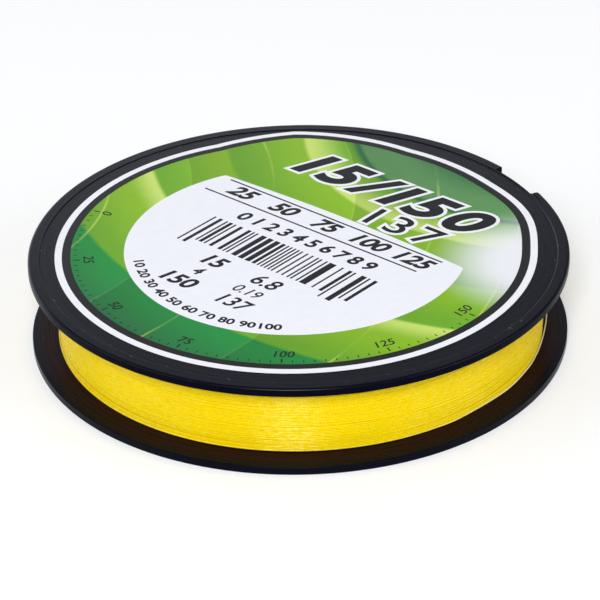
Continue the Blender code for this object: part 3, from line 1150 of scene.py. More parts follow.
@dataclass(frozen=True)
class RippledField(PlainFilm):
    """Printed green ground: wide ripples from a point off the label, crossed by faint pale arcs.

    Attributes:
        source: Where the wide ripples spread from.
        reach: Distances from there of the first and last colour.
        line_source: Where the faint arcs spread from.
        line_pitch: Distance between the faint arcs.
        line_width: Width of the faint arcs.
        line_strength: Least and most strength of the faint arcs.
        glow_centre: Middle of the white glow.
        glow_reach: Distances from there at which the glow begins to fade and ends.
        glow_share: Share of the glow's white in its middle.
        fold: Brightness of the ground at each end of a fold between two arcs.
        colour: Main light green.
        leaf: Deeper green at a ripple's foot.
        emerald: Blue green of the far ripples.
        forest: Dark green of the edge between two ripples.
        moss: Muted green of the near ripples.
        pale: Yellow green at a ripple's crest, and of the faint arcs.
        glow: The white of the glow.
        uneven: How much the tone varies.
    """

    source: Point = (45.0, 40.0)
    reach: Point = (20.0, 100.0)
    line_source: Point = (-74.0, 22.0)
    line_pitch: float = 14.0
    line_width: float = 0.22
    line_strength: Point = (0.05, 0.5)
    glow_centre: Point = (39.0, -7.0)
    glow_reach: Point = (6.0, 19.0)
    glow_share: float = 0.96
    fold: Point = (0.86, 1.10)
    colour: Rgb = (0.245, 0.480, 0.014)
    leaf: Rgb = (0.150, 0.385, 0.018)
    emerald: Rgb = (0.015, 0.265, 0.048)
    forest: Rgb = (0.020, 0.150, 0.050)
    moss: Rgb = (0.110, 0.285, 0.095)
    pale: Rgb = (0.560, 0.720, 0.150)
    glow: Rgb = (0.890, 0.890, 0.940)
    uneven: float = 0.05

    @property
    def stops(self) -> list[tuple[float, Rgb]]:
        """Colours of the wide ripples.

        Returns:
            Shares of the reach and their colours.
        """
        near = [(0.00, self.forest), (0.12, self.moss), (0.17, self.moss), (0.18, self.forest)]
        light = [(0.20, self.leaf), (0.29, self.pale), (0.30, self.colour), (0.46, self.leaf)]
        deep = [(0.47, self.colour), (0.63, self.leaf), (0.64, self.pale), (0.70, self.colour)]
        return [*near, *light, *deep, (0.83, self.leaf), (0.84, self.emerald), (1.00, self.forest)]

    def lay(self, skin: Skin) -> None:
        """Build the finish.

        Args:
            skin: The new material's nodes.
        """
        flat = skin.flattened(skin.place_mm())
        away, from_side, from_glow = (
            skin.vector("DISTANCE", flat, (*middle, 0.0), out=1)
            for middle in (self.source, self.line_source, self.glow_centre)
        )
        ground = skin.ramp(skin.span(away, *self.reach, soft=False), self.stops)
        phase = skin.maths("PINGPONG", from_side, self.line_pitch / 2.0)
        faint = skin.span(skin.noise(flat, 0.05, 1.0), 0.40, 0.62, self.line_strength)
        line = skin.span(phase, self.line_width / 2.0, self.line_width * 1.5, (1.0, 0.0))
        ground = skin.mix(skin.maths("MULTIPLY", line, faint), ground, self.pale)
        fold = skin.maths("FRACT", skin.maths("DIVIDE", from_side, self.line_pitch * 2.0))
        shade_off = skin.span(fold, 0.0, 1.0, self.fold, soft=False)
        ground = skin.mix(1.0, ground, shade_off, "MULTIPLY")
        colour = skin.toned(ground, self.patches, self.uneven)
        shine = skin.span(from_glow, *self.glow_reach, out=(self.glow_share, 0.0))
        skin.grained(self.grain_scale, self.roughness, self.relief)
        skin.paint({"Base Color": skin.mix(shine, colour, self.glow), "IOR": self.ior})


def dress(piece: Piece, material: bpy.types.Material) -> None:
    """Give a piece its material and its body.

    Args:
        piece: The piece.
        material: Its material.
    """
    piece.data.materials.clear()
    piece.data.materials.append(material)
    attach(piece, BODY)


# ---------------- the two moulded halves


def rim_corners(size: SpoolSizes, inner_z: float, outer_z: float, rim_round: float) -> list[Corner]:
    """Edge of a flange from its inner face, round the rim, to the foot of the raised band's step.

    Args:
        size: Shared sizes.
        inner_z: Height of the flange's inner face.
        outer_z: Height of the raised band.
        rim_round: Rounding of the outer edge.

    Returns:
        The corners in order.
    """
    way = math.copysign(1.0, outer_z - inner_z)
    return [
        Corner(size.flange_r, inner_z, size.rim_edge),
        Corner(size.flange_r, outer_z, rim_round),
        Corner(size.face_r, outer_z, size.band_round),
        Corner(size.face_r - size.band_slope, outer_z - way * size.band_step, size.band_round),
    ]


@dataclass
class FrontMoulding:
    """Front flange with the notch, and behind it the boss, ribs, hoop, skirt and snap fingers."""

    size: SpoolSizes
    spindle_r: float = 4.1
    spindle_chamfer: float = 0.5
    boss_wall: float = 3.2
    boss_tip_z: float = 0.9
    boss_fillet: float = 0.5
    rib_t: float = 1.2
    rib_depth_at_boss: float = 9.0
    rib_depth_at_skirt: float = 3.8
    hoop_r: float = 20.0
    hoop_t: float = 1.2
    hoop_depth: float = 3.0
    skirt_chamfer: float = 0.4
    finger_tip_z: float = 1.0
    barb_reach: float = 0.9
    barb_lead: float = 0.9
    slot_steps: int = 24
    notch_length: float = 11.0
    notch_depth: float = 1.6
    notch_steps: int = 16
    notch_entry_round: float = 0.7
    notch_exit_round: float = 0.2
    slit_width: float = 0.15
    slit_length: float = 3.5
    slit_steps: int = 4
    edge_round: float = 0.15
    rim_round: float = 0.4

    @property
    def boss_r(self) -> float:
        """Outer radius of the spindle boss."""
        return self.spindle_r + self.boss_wall

    @property
    def finger_inner_r(self) -> float:
        """Inner radius of the snap fingers."""
        return self.size.finger_outer_r - self.size.finger_t

    def section(self) -> list[Point]:
        """Lay out the half section of the turned body.

        Returns:
            The section's points.
        """
        size = self.size
        inner_z = size.front_inner_z
        skirt_r = size.barrel_bore_r - size.fit_gap
        skirt_z = inner_z - size.skirt_depth
        barb_r = size.finger_outer_r + self.barb_reach
        catch_z = size.ledge_z - size.seat_gap
        hoop_in = self.hoop_r - self.hoop_t / 2.0
        hoop_out = self.hoop_r + self.hoop_t / 2.0
        small = self.edge_round
        corners = [
            Corner(0.0, inner_z),
            Corner(self.spindle_r, inner_z, small),
            Corner(self.spindle_r, self.boss_tip_z + self.spindle_chamfer, small / 2.0),
            Corner(self.spindle_r + self.spindle_chamfer, self.boss_tip_z, small / 2.0),
            Corner(self.boss_r, self.boss_tip_z, small),
            Corner(self.boss_r, inner_z, self.boss_fillet),
            Corner(hoop_in, inner_z, small),
            Corner(hoop_in, inner_z - self.hoop_depth, small),
            Corner(hoop_out, inner_z - self.hoop_depth, small),
            Corner(hoop_out, inner_z, small),
            Corner(self.finger_inner_r, inner_z, small),
            Corner(self.finger_inner_r, self.finger_tip_z, small),
            Corner(size.finger_outer_r, self.finger_tip_z, small),
            Corner(barb_r, self.finger_tip_z + self.barb_lead, small),
            Corner(barb_r, catch_z, small),
            Corner(size.finger_outer_r, catch_z),
            Corner(size.finger_outer_r, skirt_z, small),
            Corner(skirt_r - self.skirt_chamfer, skirt_z, small),
            Corner(skirt_r, skirt_z + self.skirt_chamfer, small),
            Corner(skirt_r, inner_z, small),
            *rim_corners(size, inner_z, size.height, self.rim_round),
            Corner(0.0, size.front_face_z),
        ]
        return rounded(corners, closed=False)

    def ribs(self) -> Mesh:
        """Make the radial ribs from the boss to the skirt, midway between the fingers.

        Returns:
            The ribs' mesh.
        """
        size = self.size
        inner = self.boss_r - self.boss_wall / 2.0
        outer = (self.finger_inner_r + size.finger_outer_r) / 2.0
        top = size.front_inner_z + size.flange_t / 4.0
        section = [
            (inner, top),
            (inner, size.front_inner_z - self.rib_depth_at_boss),
            (outer, size.front_inner_z - self.rib_depth_at_skirt),
            (outer, top),
        ]
        half_pitch = 180.0 / size.finger_count
        return radial_plates(section, self.rib_t, [turn + half_pitch for turn in size.finger_azimuths])

    def slots(self) -> Mesh:
        """Make the gaps that part the finger ring into separate fingers.

        Returns:
            The gaps' mesh.
        """
        size = self.size
        inner = self.finger_inner_r - size.finger_t
        low = self.finger_tip_z - size.finger_t
        gap = 360.0 / size.finger_count - size.finger_span
        mesh = bmesh.new()
        for middle in size.finger_azimuths:
            start = middle + size.finger_span / 2.0
            turns = [start + gap * step / self.slot_steps for step in range(self.slot_steps + 1)]
            corners = [polar(size.barrel_r, turn, low) for turn in turns]
            corners += [polar(inner, turn, low) for turn in reversed(turns)]
            add_prism(mesh, corners, Vector((0.0, 0.0, size.slot_top_z - low)) * MM)
        return mesh

    def notch(self) -> Mesh:
        """Make the line notch through the rim: a rounded entry corner and a pinch slit along the rim.

        Returns:
            The notch's mesh.
        """
        size = self.size
        slit_outer = -size.slit_inset + self.slit_width / 2.0
        slit_inner = -size.slit_inset - self.slit_width / 2.0
        entry, leave = self.notch_entry_round, self.notch_exit_round
        slit = [-self.slit_length * step / self.slit_steps for step in range(self.slit_steps + 1)]
        floor = [self.notch_length * step / self.notch_steps for step in range(self.notch_steps + 1)]
        outline = [
            (-entry, self.notch_depth),
            *arc((-entry, -entry), entry, 90.0, 0.0, 8),
            *[(along, slit_outer) for along in slit],
            *[(along, slit_inner) for along in reversed(slit)],
            *[(along, -self.notch_depth) for along in floor],
            *arc((self.notch_length + leave, -leave), leave, 180.0, 90.0, 5),
            (self.notch_length + leave, self.notch_depth),
        ]
        low = size.front_inner_z - size.flange_t
        corners = [
            polar(size.flange_r + outward, size.notch_azimuth + math.degrees(along / size.flange_r), low)
            for along, outward in outline
        ]
        mesh = bmesh.new()
        add_prism(mesh, corners, Vector((0.0, 0.0, 3.0 * size.flange_t)) * MM)
        return mesh

    def build(self) -> Piece:
        """Build and dress the front moulding.

        Returns:
            The piece.
        """
        mesh = bmesh.new()
        turned(mesh, self.section())
        piece = new_piece("front_moulding", mesh)
        combine(piece, self.ribs(), Join.UNION)
        combine(piece, self.slots(), Join.DIFFERENCE)
        combine(piece, self.notch(), Join.DIFFERENCE)
        shade(piece.data)
        dress(piece, MouldedPlastic().make("black_plastic_front"))
        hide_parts("front_half")
        return piece


@dataclass
class BackMoulding:
    """Back flange with the barrel that the line is wound on, its catch ledge and its stops."""

    size: SpoolSizes
    barrel_fillet: float = 0.3
    barrel_chamfer: float = 0.3
    stop_t: float = 1.0
    stop_overlap: float = 0.9
    stop_low_z: float = 1.0
    stop_chamfer: float = 0.8
    edge_round: float = 0.15
    rim_round: float = 0.25
    # Its inner face carries the painted reflection of the yellow line.
    finish: MouldedPlastic = MouldedPlastic(ior=1.16, wall_gloss=0.8, speck_level=0.72, painted_reflection_share=0.17)

    def section(self) -> list[Point]:
        """Lay out the half section of the turned body.

        Returns:
            The section's points.
        """
        size = self.size
        top_z = size.front_inner_z - size.seat_gap
        ledge_top = size.ledge_z + size.ledge_t
        small = self.edge_round
        corners = [
            Corner(size.barrel_bore_r, size.band_step, small),
            *reversed(rim_corners(size, size.flange_t, 0.0, self.rim_round)),
            Corner(size.barrel_r, size.flange_t, self.barrel_fillet),
            Corner(size.barrel_r, top_z - self.barrel_chamfer, small / 2.0),
            Corner(size.barrel_r - self.barrel_chamfer, top_z, small / 2.0),
            Corner(size.barrel_bore_r + self.barrel_chamfer, top_z, small / 2.0),
            Corner(size.barrel_bore_r, top_z - self.barrel_chamfer, small / 2.0),
            Corner(size.barrel_bore_r, ledge_top + size.ledge_slope, small),
            Corner(size.ledge_r, ledge_top, small),
            Corner(size.ledge_r, size.ledge_z, small),
            Corner(size.barrel_bore_r, size.ledge_z),
        ]
        return rounded(corners, closed=True)

    def stops(self) -> Mesh:
        """Make the stops inside the barrel, one on each side of every finger.

        Returns:
            The stops' mesh.
        """
        size = self.size
        inner = size.finger_outer_r - self.stop_overlap
        outer = size.barrel_r - size.barrel_wall / 2.0
        top_z = size.slot_top_z - size.seat_gap
        section = [
            (inner, self.stop_low_z),
            (outer, self.stop_low_z),
            (outer, top_z),
            (inner + self.stop_chamfer, top_z),
            (inner, top_z - self.stop_chamfer),
        ]
        aside = size.finger_span / 2.0
        aside += math.degrees((size.seat_gap + self.stop_t / 2.0) / size.finger_outer_r)
        azimuths = [middle + side for middle in size.finger_azimuths for side in (-aside, aside)]
        return radial_plates(section, self.stop_t, azimuths)

    def build(self) -> Piece:
        """Build and dress the back moulding.

        Returns:
            The piece.
        """
        mesh = bmesh.new()
        turned(mesh, self.section())
        piece = new_piece("back_moulding", mesh)
        combine(piece, self.stops(), Join.UNION)
        shade(piece.data)
        dress(piece, self.finish.make("black_plastic_back"))
        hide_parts("back_half")
        return piece


# ---------------- the line


@dataclass(frozen=True)
class Undulation:
    """A smooth random relief over the winding, in rows along the axis and columns round it.

    Attributes:
        low: Height of its lowest row.
        row: Distance between rows.
        knots: One random value for each row and column, from -1 to 1.
    """

    low: float
    row: float
    knots: np.ndarray

    def at(self, azimuths: np.ndarray, heights: np.ndarray) -> np.ndarray:
        """Read the relief.

        Args:
            azimuths: Azimuths in degrees.
            heights: Heights in millimetres.

        Returns:
            The relief at each place, from -1 to 1.
        """
        rows, columns = self.knots.shape
        across = np.clip((heights - self.low) / self.row, 0.0, rows - 1.001)
        around = (azimuths % 360.0) / 360.0 * columns
        top = across.astype(int)
        left = around.astype(int) % columns
        right = (left + 1) % columns
        down = eased(across - top)
        along = eased(around - np.floor(around))
        upper = self.knots[top, left] * (1.0 - along) + self.knots[top, right] * along
        lower = self.knots[top + 1, left] * (1.0 - along) + self.knots[top + 1, right] * along
        return upper * (1.0 - down) + lower * down


@dataclass
class WoundLine:
    """The wound line: a core, the outer layer as one helical strand, and a few strands that cross it.

    Attributes:
        strand_w: Width of the flattened strand along the axis.
        strand_t: Thickness of the flattened strand.
        pitch: Distance between neighbouring turns.
        steps: Steps of one turn.
        stray: Largest offset of a turn along the axis.
        stray_deg: Distance between free values of that offset.
        rise: Largest offset of a turn along the radius.
        rise_deg: Distance between free values of that offset.
        crossings: Number of strands that cross the layer.
        crossing_deg: Least and most that one of them goes round.
        crossing_drop: Least and most that it slopes down.
        crossing_ends: How far its start keeps from the lowest and the highest turn.
        crossing_lift: How far its middle stands up, as a share of its thickness.
        core_depth: How far the core lies inside the outer layer.
        relief: Largest offset of the slow relief over the layer.
        relief_row: Height of one row of that relief.
        relief_columns: Number of its columns round the layer.
        inner_gap: Gap between the core and the barrel.
        end_gap: Gap between the core and each flange.
        seam_z: Height of the sunk turn above the lowest ones.
        seam_depth: How far that turn is sunk.
        seam_width: Half width of the seam, as a share of the pitch.
        seed: Seed of the offsets.
        finish: The line's finish.
    """

    size: SpoolSizes
    strand_w: float = 0.31
    strand_t: float = 0.20
    pitch: float = 0.272
    steps: int = 236
    stray: float = 0.042
    stray_deg: float = 34.0
    rise: float = 0.034
    rise_deg: float = 21.0
    crossings: int = 9
    crossing_deg: Point = (70.0, 150.0)
    crossing_drop: Point = (0.5, 1.8)
    crossing_ends: Point = (2.0, 1.0)
    crossing_lift: float = 0.72
    core_depth: float = 0.12
    relief: float = 0.045
    relief_row: float = 0.42
    relief_columns: int = 26
    inner_gap: float = 0.32
    end_gap: float = 0.03
    seam_z: float = 2.55
    seam_depth: float = 0.16
    seam_width: float = 0.6
    seed: int = 7
    # Between its fibre bundles the line is painted a deeper orange as shade.
    finish: BraidedLine = BraidedLine(
        bright=(0.820, 0.632, 0.0008), deep=(0.780, 0.565, 0.0006), painted_valley_shade=(0.700, 0.400, 0.0005)
    )

    @property
    def low(self) -> float:
        """Height of the lowest turn's middle."""
        return self.size.flange_t + self.strand_w / 2.0

    @property
    def high(self) -> float:
        """Height of the highest turn's middle."""
        return self.size.front_inner_z - self.strand_w / 2.0

    def core(self) -> Mesh:
        """Build the layers under the outer one as a closed ring.

        Returns:
            The ring's mesh.
        """
        size = self.size
        inner = size.barrel_r + self.inner_gap
        outer = size.wound_r - self.core_depth
        low, high = size.flange_t + self.end_gap, size.front_inner_z - self.end_gap
        mesh = bmesh.new()
        turned(mesh, [(inner, low), (outer, low), (outer, high), (inner, high)])
        for vert in mesh.verts:
            radius = vert.co.xy.length / MM
            if radius > (inner + outer) / 2.0:
                azimuth = math.degrees(math.atan2(vert.co.y, vert.co.x))
                vert.co.xy *= float(size.wound_at(azimuth) - self.core_depth) / radius
        bmesh.ops.recalc_face_normals(mesh, faces=mesh.faces)
        return mesh

    def undulation(self, rng: np.random.Generator) -> Undulation:
        """Draw the slow relief over the layer.

        Args:
            rng: Seeded random generator.

        Returns:
            The relief.
        """
        rows = int((self.high - self.low) / self.relief_row) + 3
        knots = rng.uniform(-1.0, 1.0, (rows, self.relief_columns))
        return Undulation(self.low - self.relief_row, self.relief_row, knots)

    def helix(self, rng: np.random.Generator) -> np.ndarray:
        """Lay out the outer layer, from the top turn down to the lowest.

        Args:
            rng: Seeded random generator.

        Returns:
            Points of the path in millimetres.
        """
        turns = (self.high - self.low) / self.pitch
        azimuths = np.arange(int(turns * self.steps) + 1) * 360.0 / self.steps
        heights = self.high - azimuths / 360.0 * self.pitch
        heights += wander(rng, azimuths, self.stray_deg, self.stray)
        heights = np.clip(heights, self.low, self.high)
        radii = self.size.wound_at(azimuths) - self.strand_t / 2.0
        radii += wander(rng, azimuths, self.rise_deg, self.rise)
        from_seam = (heights - self.seam_z) / (self.pitch * self.seam_width)
        radii -= self.seam_depth * np.exp(-(from_seam**2))
        radii += self.relief * self.undulation(rng).at(azimuths, heights)
        return polar_rows(radii, azimuths, heights)

    def crossing(self, rng: np.random.Generator) -> np.ndarray:
        """Lay out one strand that slopes across the layer, sunk at both ends.

        Args:
            rng: Seeded random generator.

        Returns:
            Points of the path in millimetres.
        """
        span = rng.uniform(*self.crossing_deg)
        start = rng.uniform(0.0, 360.0)
        height = rng.uniform(self.low + self.crossing_ends[0], self.high - self.crossing_ends[1])
        drop = rng.uniform(*self.crossing_drop)
        share = np.linspace(0.0, 1.0, int(span / 360.0 * self.steps) + 2)
        azimuths = start + span * share
        sunk = self.size.wound_at(azimuths) - self.strand_t
        radii = sunk + np.sin(share * math.pi) ** 0.5 * (self.strand_t * self.crossing_lift)
        return polar_rows(radii, azimuths, height - drop * share)

    def build(self) -> Piece:
        """Build and dress the wound line.

        Returns:
            The piece.
        """
        rng = np.random.default_rng(self.seed)
        strands = StrandMesh(self.strand_w, self.strand_t)
        run = strands.add(self.helix(rng))
        for _ in range(self.crossings):
            run = strands.add(self.crossing(rng), run)
        piece = strands.build("wound_line")
        joined = self.core()
        joined.from_mesh(piece.data)
        joined.to_mesh(piece.data)
        joined.free()
        shade(piece.data, STRAND_SHARP_DEG)
        dress(piece, self.finish.make("yellow_braid"))
        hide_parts("line_winding")
        return piece


@dataclass
class LooseEnd:
    """The last turn along the winding's lower edge, which leaves it and runs up to the pinch slit.

    Attributes:
        strand_w: Width of the strand along the axis.
        strand_t: Thickness of the strand.
        strand_sides: Faces round the strand.
        proud: How far its middle stands out from the winding.
        rest_gap: Gap between the strand and the back flange where it leaves the winding.
        turn_deg: How far it goes round the winding before it leaves.
        knot_deg: Distance between the points of that turn.
        sink_deg: How far along the turn its start is sunk.
        sink: How deep that start is sunk.
        sink_rise: How much higher that start lies.
        sway: How far the turn sways up and down.
        sways: How often it does so on the way round.
        spacing: Distance between the points of the finished path.
        finish: The line's finish.
    """

    size: SpoolSizes
    strand_w: float = 0.30
    strand_t: float = 0.20
    strand_sides: int = 12
    proud: float = 0.10
    rest_gap: float = 0.04
    turn_deg: float = 335.0
    knot_deg: float = 8.0
    sink_deg: float = 24.0
    sink: float = 0.25
    sink_rise: float = 0.10
    sway: float = 0.05
    sways: int = 3
    spacing: float = 0.4
    # Its far end is painted greyer, as shade on the strand where it rises to the slit.
    finish: BraidedLine = BraidedLine(
        bright=(0.88, 0.72, 0.035), deep=(0.76, 0.57, 0.020), painted_valley_shade=(0.60, 0.38, 0.010),
        painted_end_shade=(0.80, 0.72, 0.40), painted_end_shade_run=(212.0, 246.0),
    )

    @property
    def route(self) -> list[tuple[float, float, float]]:
        """Listed points of the loose end.

        Returns:
            The azimuth, the share of the way out to the slit and the height of each point.
        """
        size = self.size
        low = size.flange_t + self.strand_w / 2.0 + self.rest_gap
        return [
            (-36.0, 0.0, low),
            (-25.0, 0.0, low),
            (-18.0, 0.0, low + 0.03),
            (-12.0, 0.02, low + 0.08),
            (-6.0, 0.11, low + 0.25),
            (-1.0, 0.235, low + 0.7),
            (4.5, 0.43, low + 2.9),
            (12.0, 0.67, size.front_inner_z - 5.0),
            (18.5, 0.95, size.front_inner_z - 1.7),
            (size.notch_azimuth + 0.6, 1.0, size.front_inner_z + 0.2),
            (size.notch_azimuth + 0.7, 1.0, size.front_face_z - size.line_d),
        ]

    def path(self) -> np.ndarray:
        """Lay out the whole strand.

        Returns:
            Its points in millimetres.
        """
        size = self.size
        start_r = size.wound_r + self.proud
        way_out = size.flange_r - size.slit_inset - start_r

        def place(azimuth: float, share: float, height: float) -> Vector:
            """Place a point that clears the winding where this is wider."""
            wider = float(size.wound_at(azimuth)) - size.wound_r
            return polar(start_r + share * way_out + (1.0 - max(0.0, share)) * wider, azimuth, height)

        leaving, _, low = self.route[0]
        knots = []
        for step in range(int(self.turn_deg / self.knot_deg)):
            azimuth = leaving - self.turn_deg + self.knot_deg * step
            sunk = max(0.0, 1.0 - self.knot_deg * step / self.sink_deg)
            swing = math.sin(math.radians(azimuth * self.sways))
            lift = self.sway * (1.0 + swing) + self.sink_rise * sunk
            knots.append(place(azimuth, -self.sink * sunk / way_out, low + lift))
        knots += [place(*point) for point in self.route]
        return np.array([tuple(point) for point in smooth_points(knots, self.spacing * MM)]) / MM

    def build(self) -> Piece:
        """Build and dress the loose end.

        Returns:
            The piece.
        """
        strands = StrandMesh(self.strand_w, self.strand_t, self.strand_sides)
        strands.add(self.path())
        piece = strands.build("loose_end")
        dress(piece, self.finish.make("pale_braid"))
        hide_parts("line_tail")
        return piece


# ---------------- the label


@dataclass(frozen=True)
class DigitStyle:
    """How a plain printed number looks.

    Attributes:
        height: Height of the digits.
        slant: Lean of the digits.
        weight: How far the strokes are thickened.
        stretch: Width of the digits over their usual width.
    """

    height: float
    slant: float = 0.0
    weight: float = 0.0
    stretch: float = 1.0


@dataclass(frozen=True)
class Number:
    """A plain printed number.

    Attributes:
        text: The digits.
        style: How they look.
        along: Place of its middle along the print direction.
        up: Place of its middle across the print direction.
        turn: Angle from the print direction in degrees.
    """

    text: str
    style: DigitStyle
    along: float
    up: float
    turn: float = 0.0


def digit_row(texts: Iterable[str], style: DigitStyle, up: float, places: Iterable[float]) -> list[Number]:
    """Plain numbers in a straight row, whose middles lie at places along it."""
    return [Number(text, style, place, up) for text, place in zip(texts, places)]


def digit_arc(
    texts: Iterable[str], style: DigitStyle, radius: float, start: float, step: float
) -> list[Number]:
    """Plain numbers that stand upright on an arc round the label's middle.

    Args:
        texts: The numbers.
        style: How they look.
        radius: Radius of the arc.
        start: Angle of the first number from the print direction, in degrees.
        step: Angle from one number to the next, in degrees.

    Returns:
        The numbers.
    """
    made = []
    for index, text in enumerate(texts):
        angle = start + step * index
        along, up, _ = polar(radius, angle, 0.0) / MM
        made.append(Number(text, style, along, up, angle + 90.0))
    return made


@dataclass
class Label:
    """Round printed label: film, ring, rippled green ground, white panel, bars and plain numbers."""

    size: SpoolSizes
    radius: float = 39.66
    shift: float = -0.41
    corner_azimuth: float = 90.0
    corner_rise: float = 2.05
    corner_left_deg: float = 20.0
    corner_right_deg: float = 31.0
    corner_right_power: float = 1.3
    swell_azimuth: float = 15.0
    swell_rise: float = 0.75
    swell_half_deg: float = 20.0
    points: int = 720
    glue_t: float = 0.01
    film_t: float = 0.08
    ink_t: float = 0.012
    white_ring: float = 1.18
    black_ring: float = 1.41
    print_azimuth: float = -41.0
    panel_r: float = 28.3
    panel_top: float = 11.6
    panel_bulge: float = 1.0
    panel_corner: float = 0.5
    panel_steps: tuple[int, int, int] = (160, 41, 9)
    cap_share: float = 0.70
    curve_steps: int = 6
    shortest_step: float = 0.001
    number_edge: float = 1.25
    rule: Point = (46.0, 0.34)
    rule_places: tuple[Point, ...] = ((-1.0, 10.9), (-2.4, 5.9))
    bars_half: float = 17.3
    bars_top: float = -0.6
    bar_module: float = 0.375
    bar_height: float = 8.0
    guard_bar_height: float = 9.6
    guard_bars: tuple[int, ...] = (0, 1, 26, 27)
    bar_ink_share: float = 0.92
    scale_start: float = 158.0
    scale_step: float = 27.0
    scale_parts: int = 10
    scale_count: int = 7
    scale_digits_r: float = 34.2
    tick_r: float = 36.6
    tick: Point = (0.6, 0.16)
    long_tick: Point = (1.1, 0.26)
    white: Rgb = (0.90, 0.90, 0.94)
    seed: int = 23

    @property
    def film_low(self) -> float:
        """Height of the film's underside."""
        return self.size.front_face_z + self.glue_t

    @property
    def ground_inset(self) -> float:
        """How far the green ground lies inside the film's edge."""
        return self.white_ring + self.black_ring

    def level(self, layer: int) -> Point:
        """Heights of a print layer's underside and top, counted up from the film."""
        low = self.film_low + self.film_t + layer * self.ink_t
        return low, low + self.ink_t

    def edge(self, inset: float) -> list[Point]:
        """Lay out the label's edge: nearly a circle, with a blunt corner and a slight swell.

        Args:
            inset: How far the outline is moved in.

        Returns:
            The outline.
        """
        azimuths = 360.0 * np.arange(self.points) / self.points
        off = signed_off(azimuths, self.corner_azimuth)
        left = 1.0 - off / self.corner_left_deg
        right = 1.0 - np.maximum(0.0, -off / self.corner_right_deg) ** self.corner_right_power
        corner = np.maximum(0.0, np.where(off >= 0.0, left, right))
        swell = hump(azimuths, self.swell_azimuth, self.swell_half_deg)
        radii = self.radius + self.corner_rise * corner + self.swell_rise * swell - inset
        places = polar_rows(radii, azimuths, np.zeros(self.points)).tolist()
        return [(x + self.shift, y) for x, y, _ in places]

    def on_print(self, along: float, up: float) -> Point:
        """Turn a place in the print's frame into a place on the label.

        Args:
            along: Millimetres along the print direction.
            up: Millimetres across it, towards the rear right.

        Returns:
            The place in the label's plane.
        """
        angle = math.radians(self.print_azimuth)
        return (
            along * math.cos(angle) - up * math.sin(angle) + self.shift,
            along * math.sin(angle) + up * math.cos(angle),
        )

    def layer(self, name: str, edges: np.ndarray, heights: Point, finish: Finish, ink: str) -> Piece:
        """Build and dress one flat layer of the label.

        Args:
            name: Name of the piece.
            edges: Edges with the layer on their left.
            heights: Heights of its underside and top.
            finish: Its finish.
            ink: Name of its material.

        Returns:
            The piece.
        """
        mesh = bmesh.new()
        add_region(mesh, edges, *heights)
        piece = new_piece(name, mesh)
        dress(piece, finish.make(ink))
        return piece

    def film(self) -> Piece:
        """Build and dress the white film.

        Returns:
            The piece.
        """
        edges, heights = loop_edges(self.edge(0.0)), (self.film_low, self.film_low + self.film_t)
        piece = self.layer("label_film", edges, heights, PlainFilm(self.white, (0.30, 0.40)), "white_film")
        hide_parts("front_label")
        return piece

    def ring(self) -> Piece:
        """Build and dress the black ring inside the film's white edge."""
        edges = loop_edges(self.edge(self.white_ring), self.edge(self.ground_inset)[::-1])
        return self.layer("label_black_ring", edges, self.level(0), PlainFilm((0.014,) * 3), "ring_ink")

    def ground(self) -> Piece:
        """Build and dress the green ground inside the ring."""
        edges = loop_edges(self.edge(self.ground_inset))
        return self.layer("label_green_ground", edges, self.level(0), RippledField(), "green_print")

    def panel(self) -> Piece:
        """Build and dress the white panel."""
        edges, finish = loop_edges(self.panel_outline()), PlainFilm((0.90, 0.90, 0.96), uneven=0.04)
        return self.layer("label_white_panel", edges, self.level(1), finish, "panel_ink")

    def panel_outline(self) -> list[Point]:
        """Lay out the white panel: most of a disc, closed by a bulged edge, corners softened.

        Returns:
            Its outline on the label.
        """
        half = math.sqrt(self.panel_r**2 - self.panel_top**2)
        left = math.degrees(math.atan2(self.panel_top, -half))
        right = math.degrees(math.atan2(self.panel_top, half))
        trim = math.degrees(self.panel_corner / self.panel_r)
        rim_steps, crown_points, _ = self.panel_steps
        rim = arc((0.0, 0.0), self.panel_r, left + trim, right + 360.0 - trim, rim_steps)
        share = self.panel_corner / (2.0 * half)
        crown = [
            (half * (1.0 - 2.0 * t), self.panel_top + 4.0 * self.panel_bulge * t * (1.0 - t))
            for t in np.linspace(share, 1.0 - share, crown_points)
        ]
        outline = [*rim, *self.bend(rim[-1], (half, self.panel_top), crown[0])]
        outline += [*crown, *self.bend(crown[-1], (-half, self.panel_top), rim[0])]
        return [self.on_print(along, up) for along, up in outline]

    def bend(self, start: Point, corner: Point, end: Point) -> list[Point]:
        """Soften one corner.

        Args:
            start: Where the curve begins.
            corner: The corner that it softens.
            end: Where the curve ends.

        Returns:
            Inner points of the curve.
        """
        t = np.linspace(0.0, 1.0, self.panel_steps[2])[1:-1, None]
        first, middle, last = (np.array(place) for place in (start, corner, end))
        curve = (1.0 - t) ** 2 * first + 2.0 * t * (1.0 - t) * middle + t**2 * last
        return [tuple(point) for point in curve.tolist()]

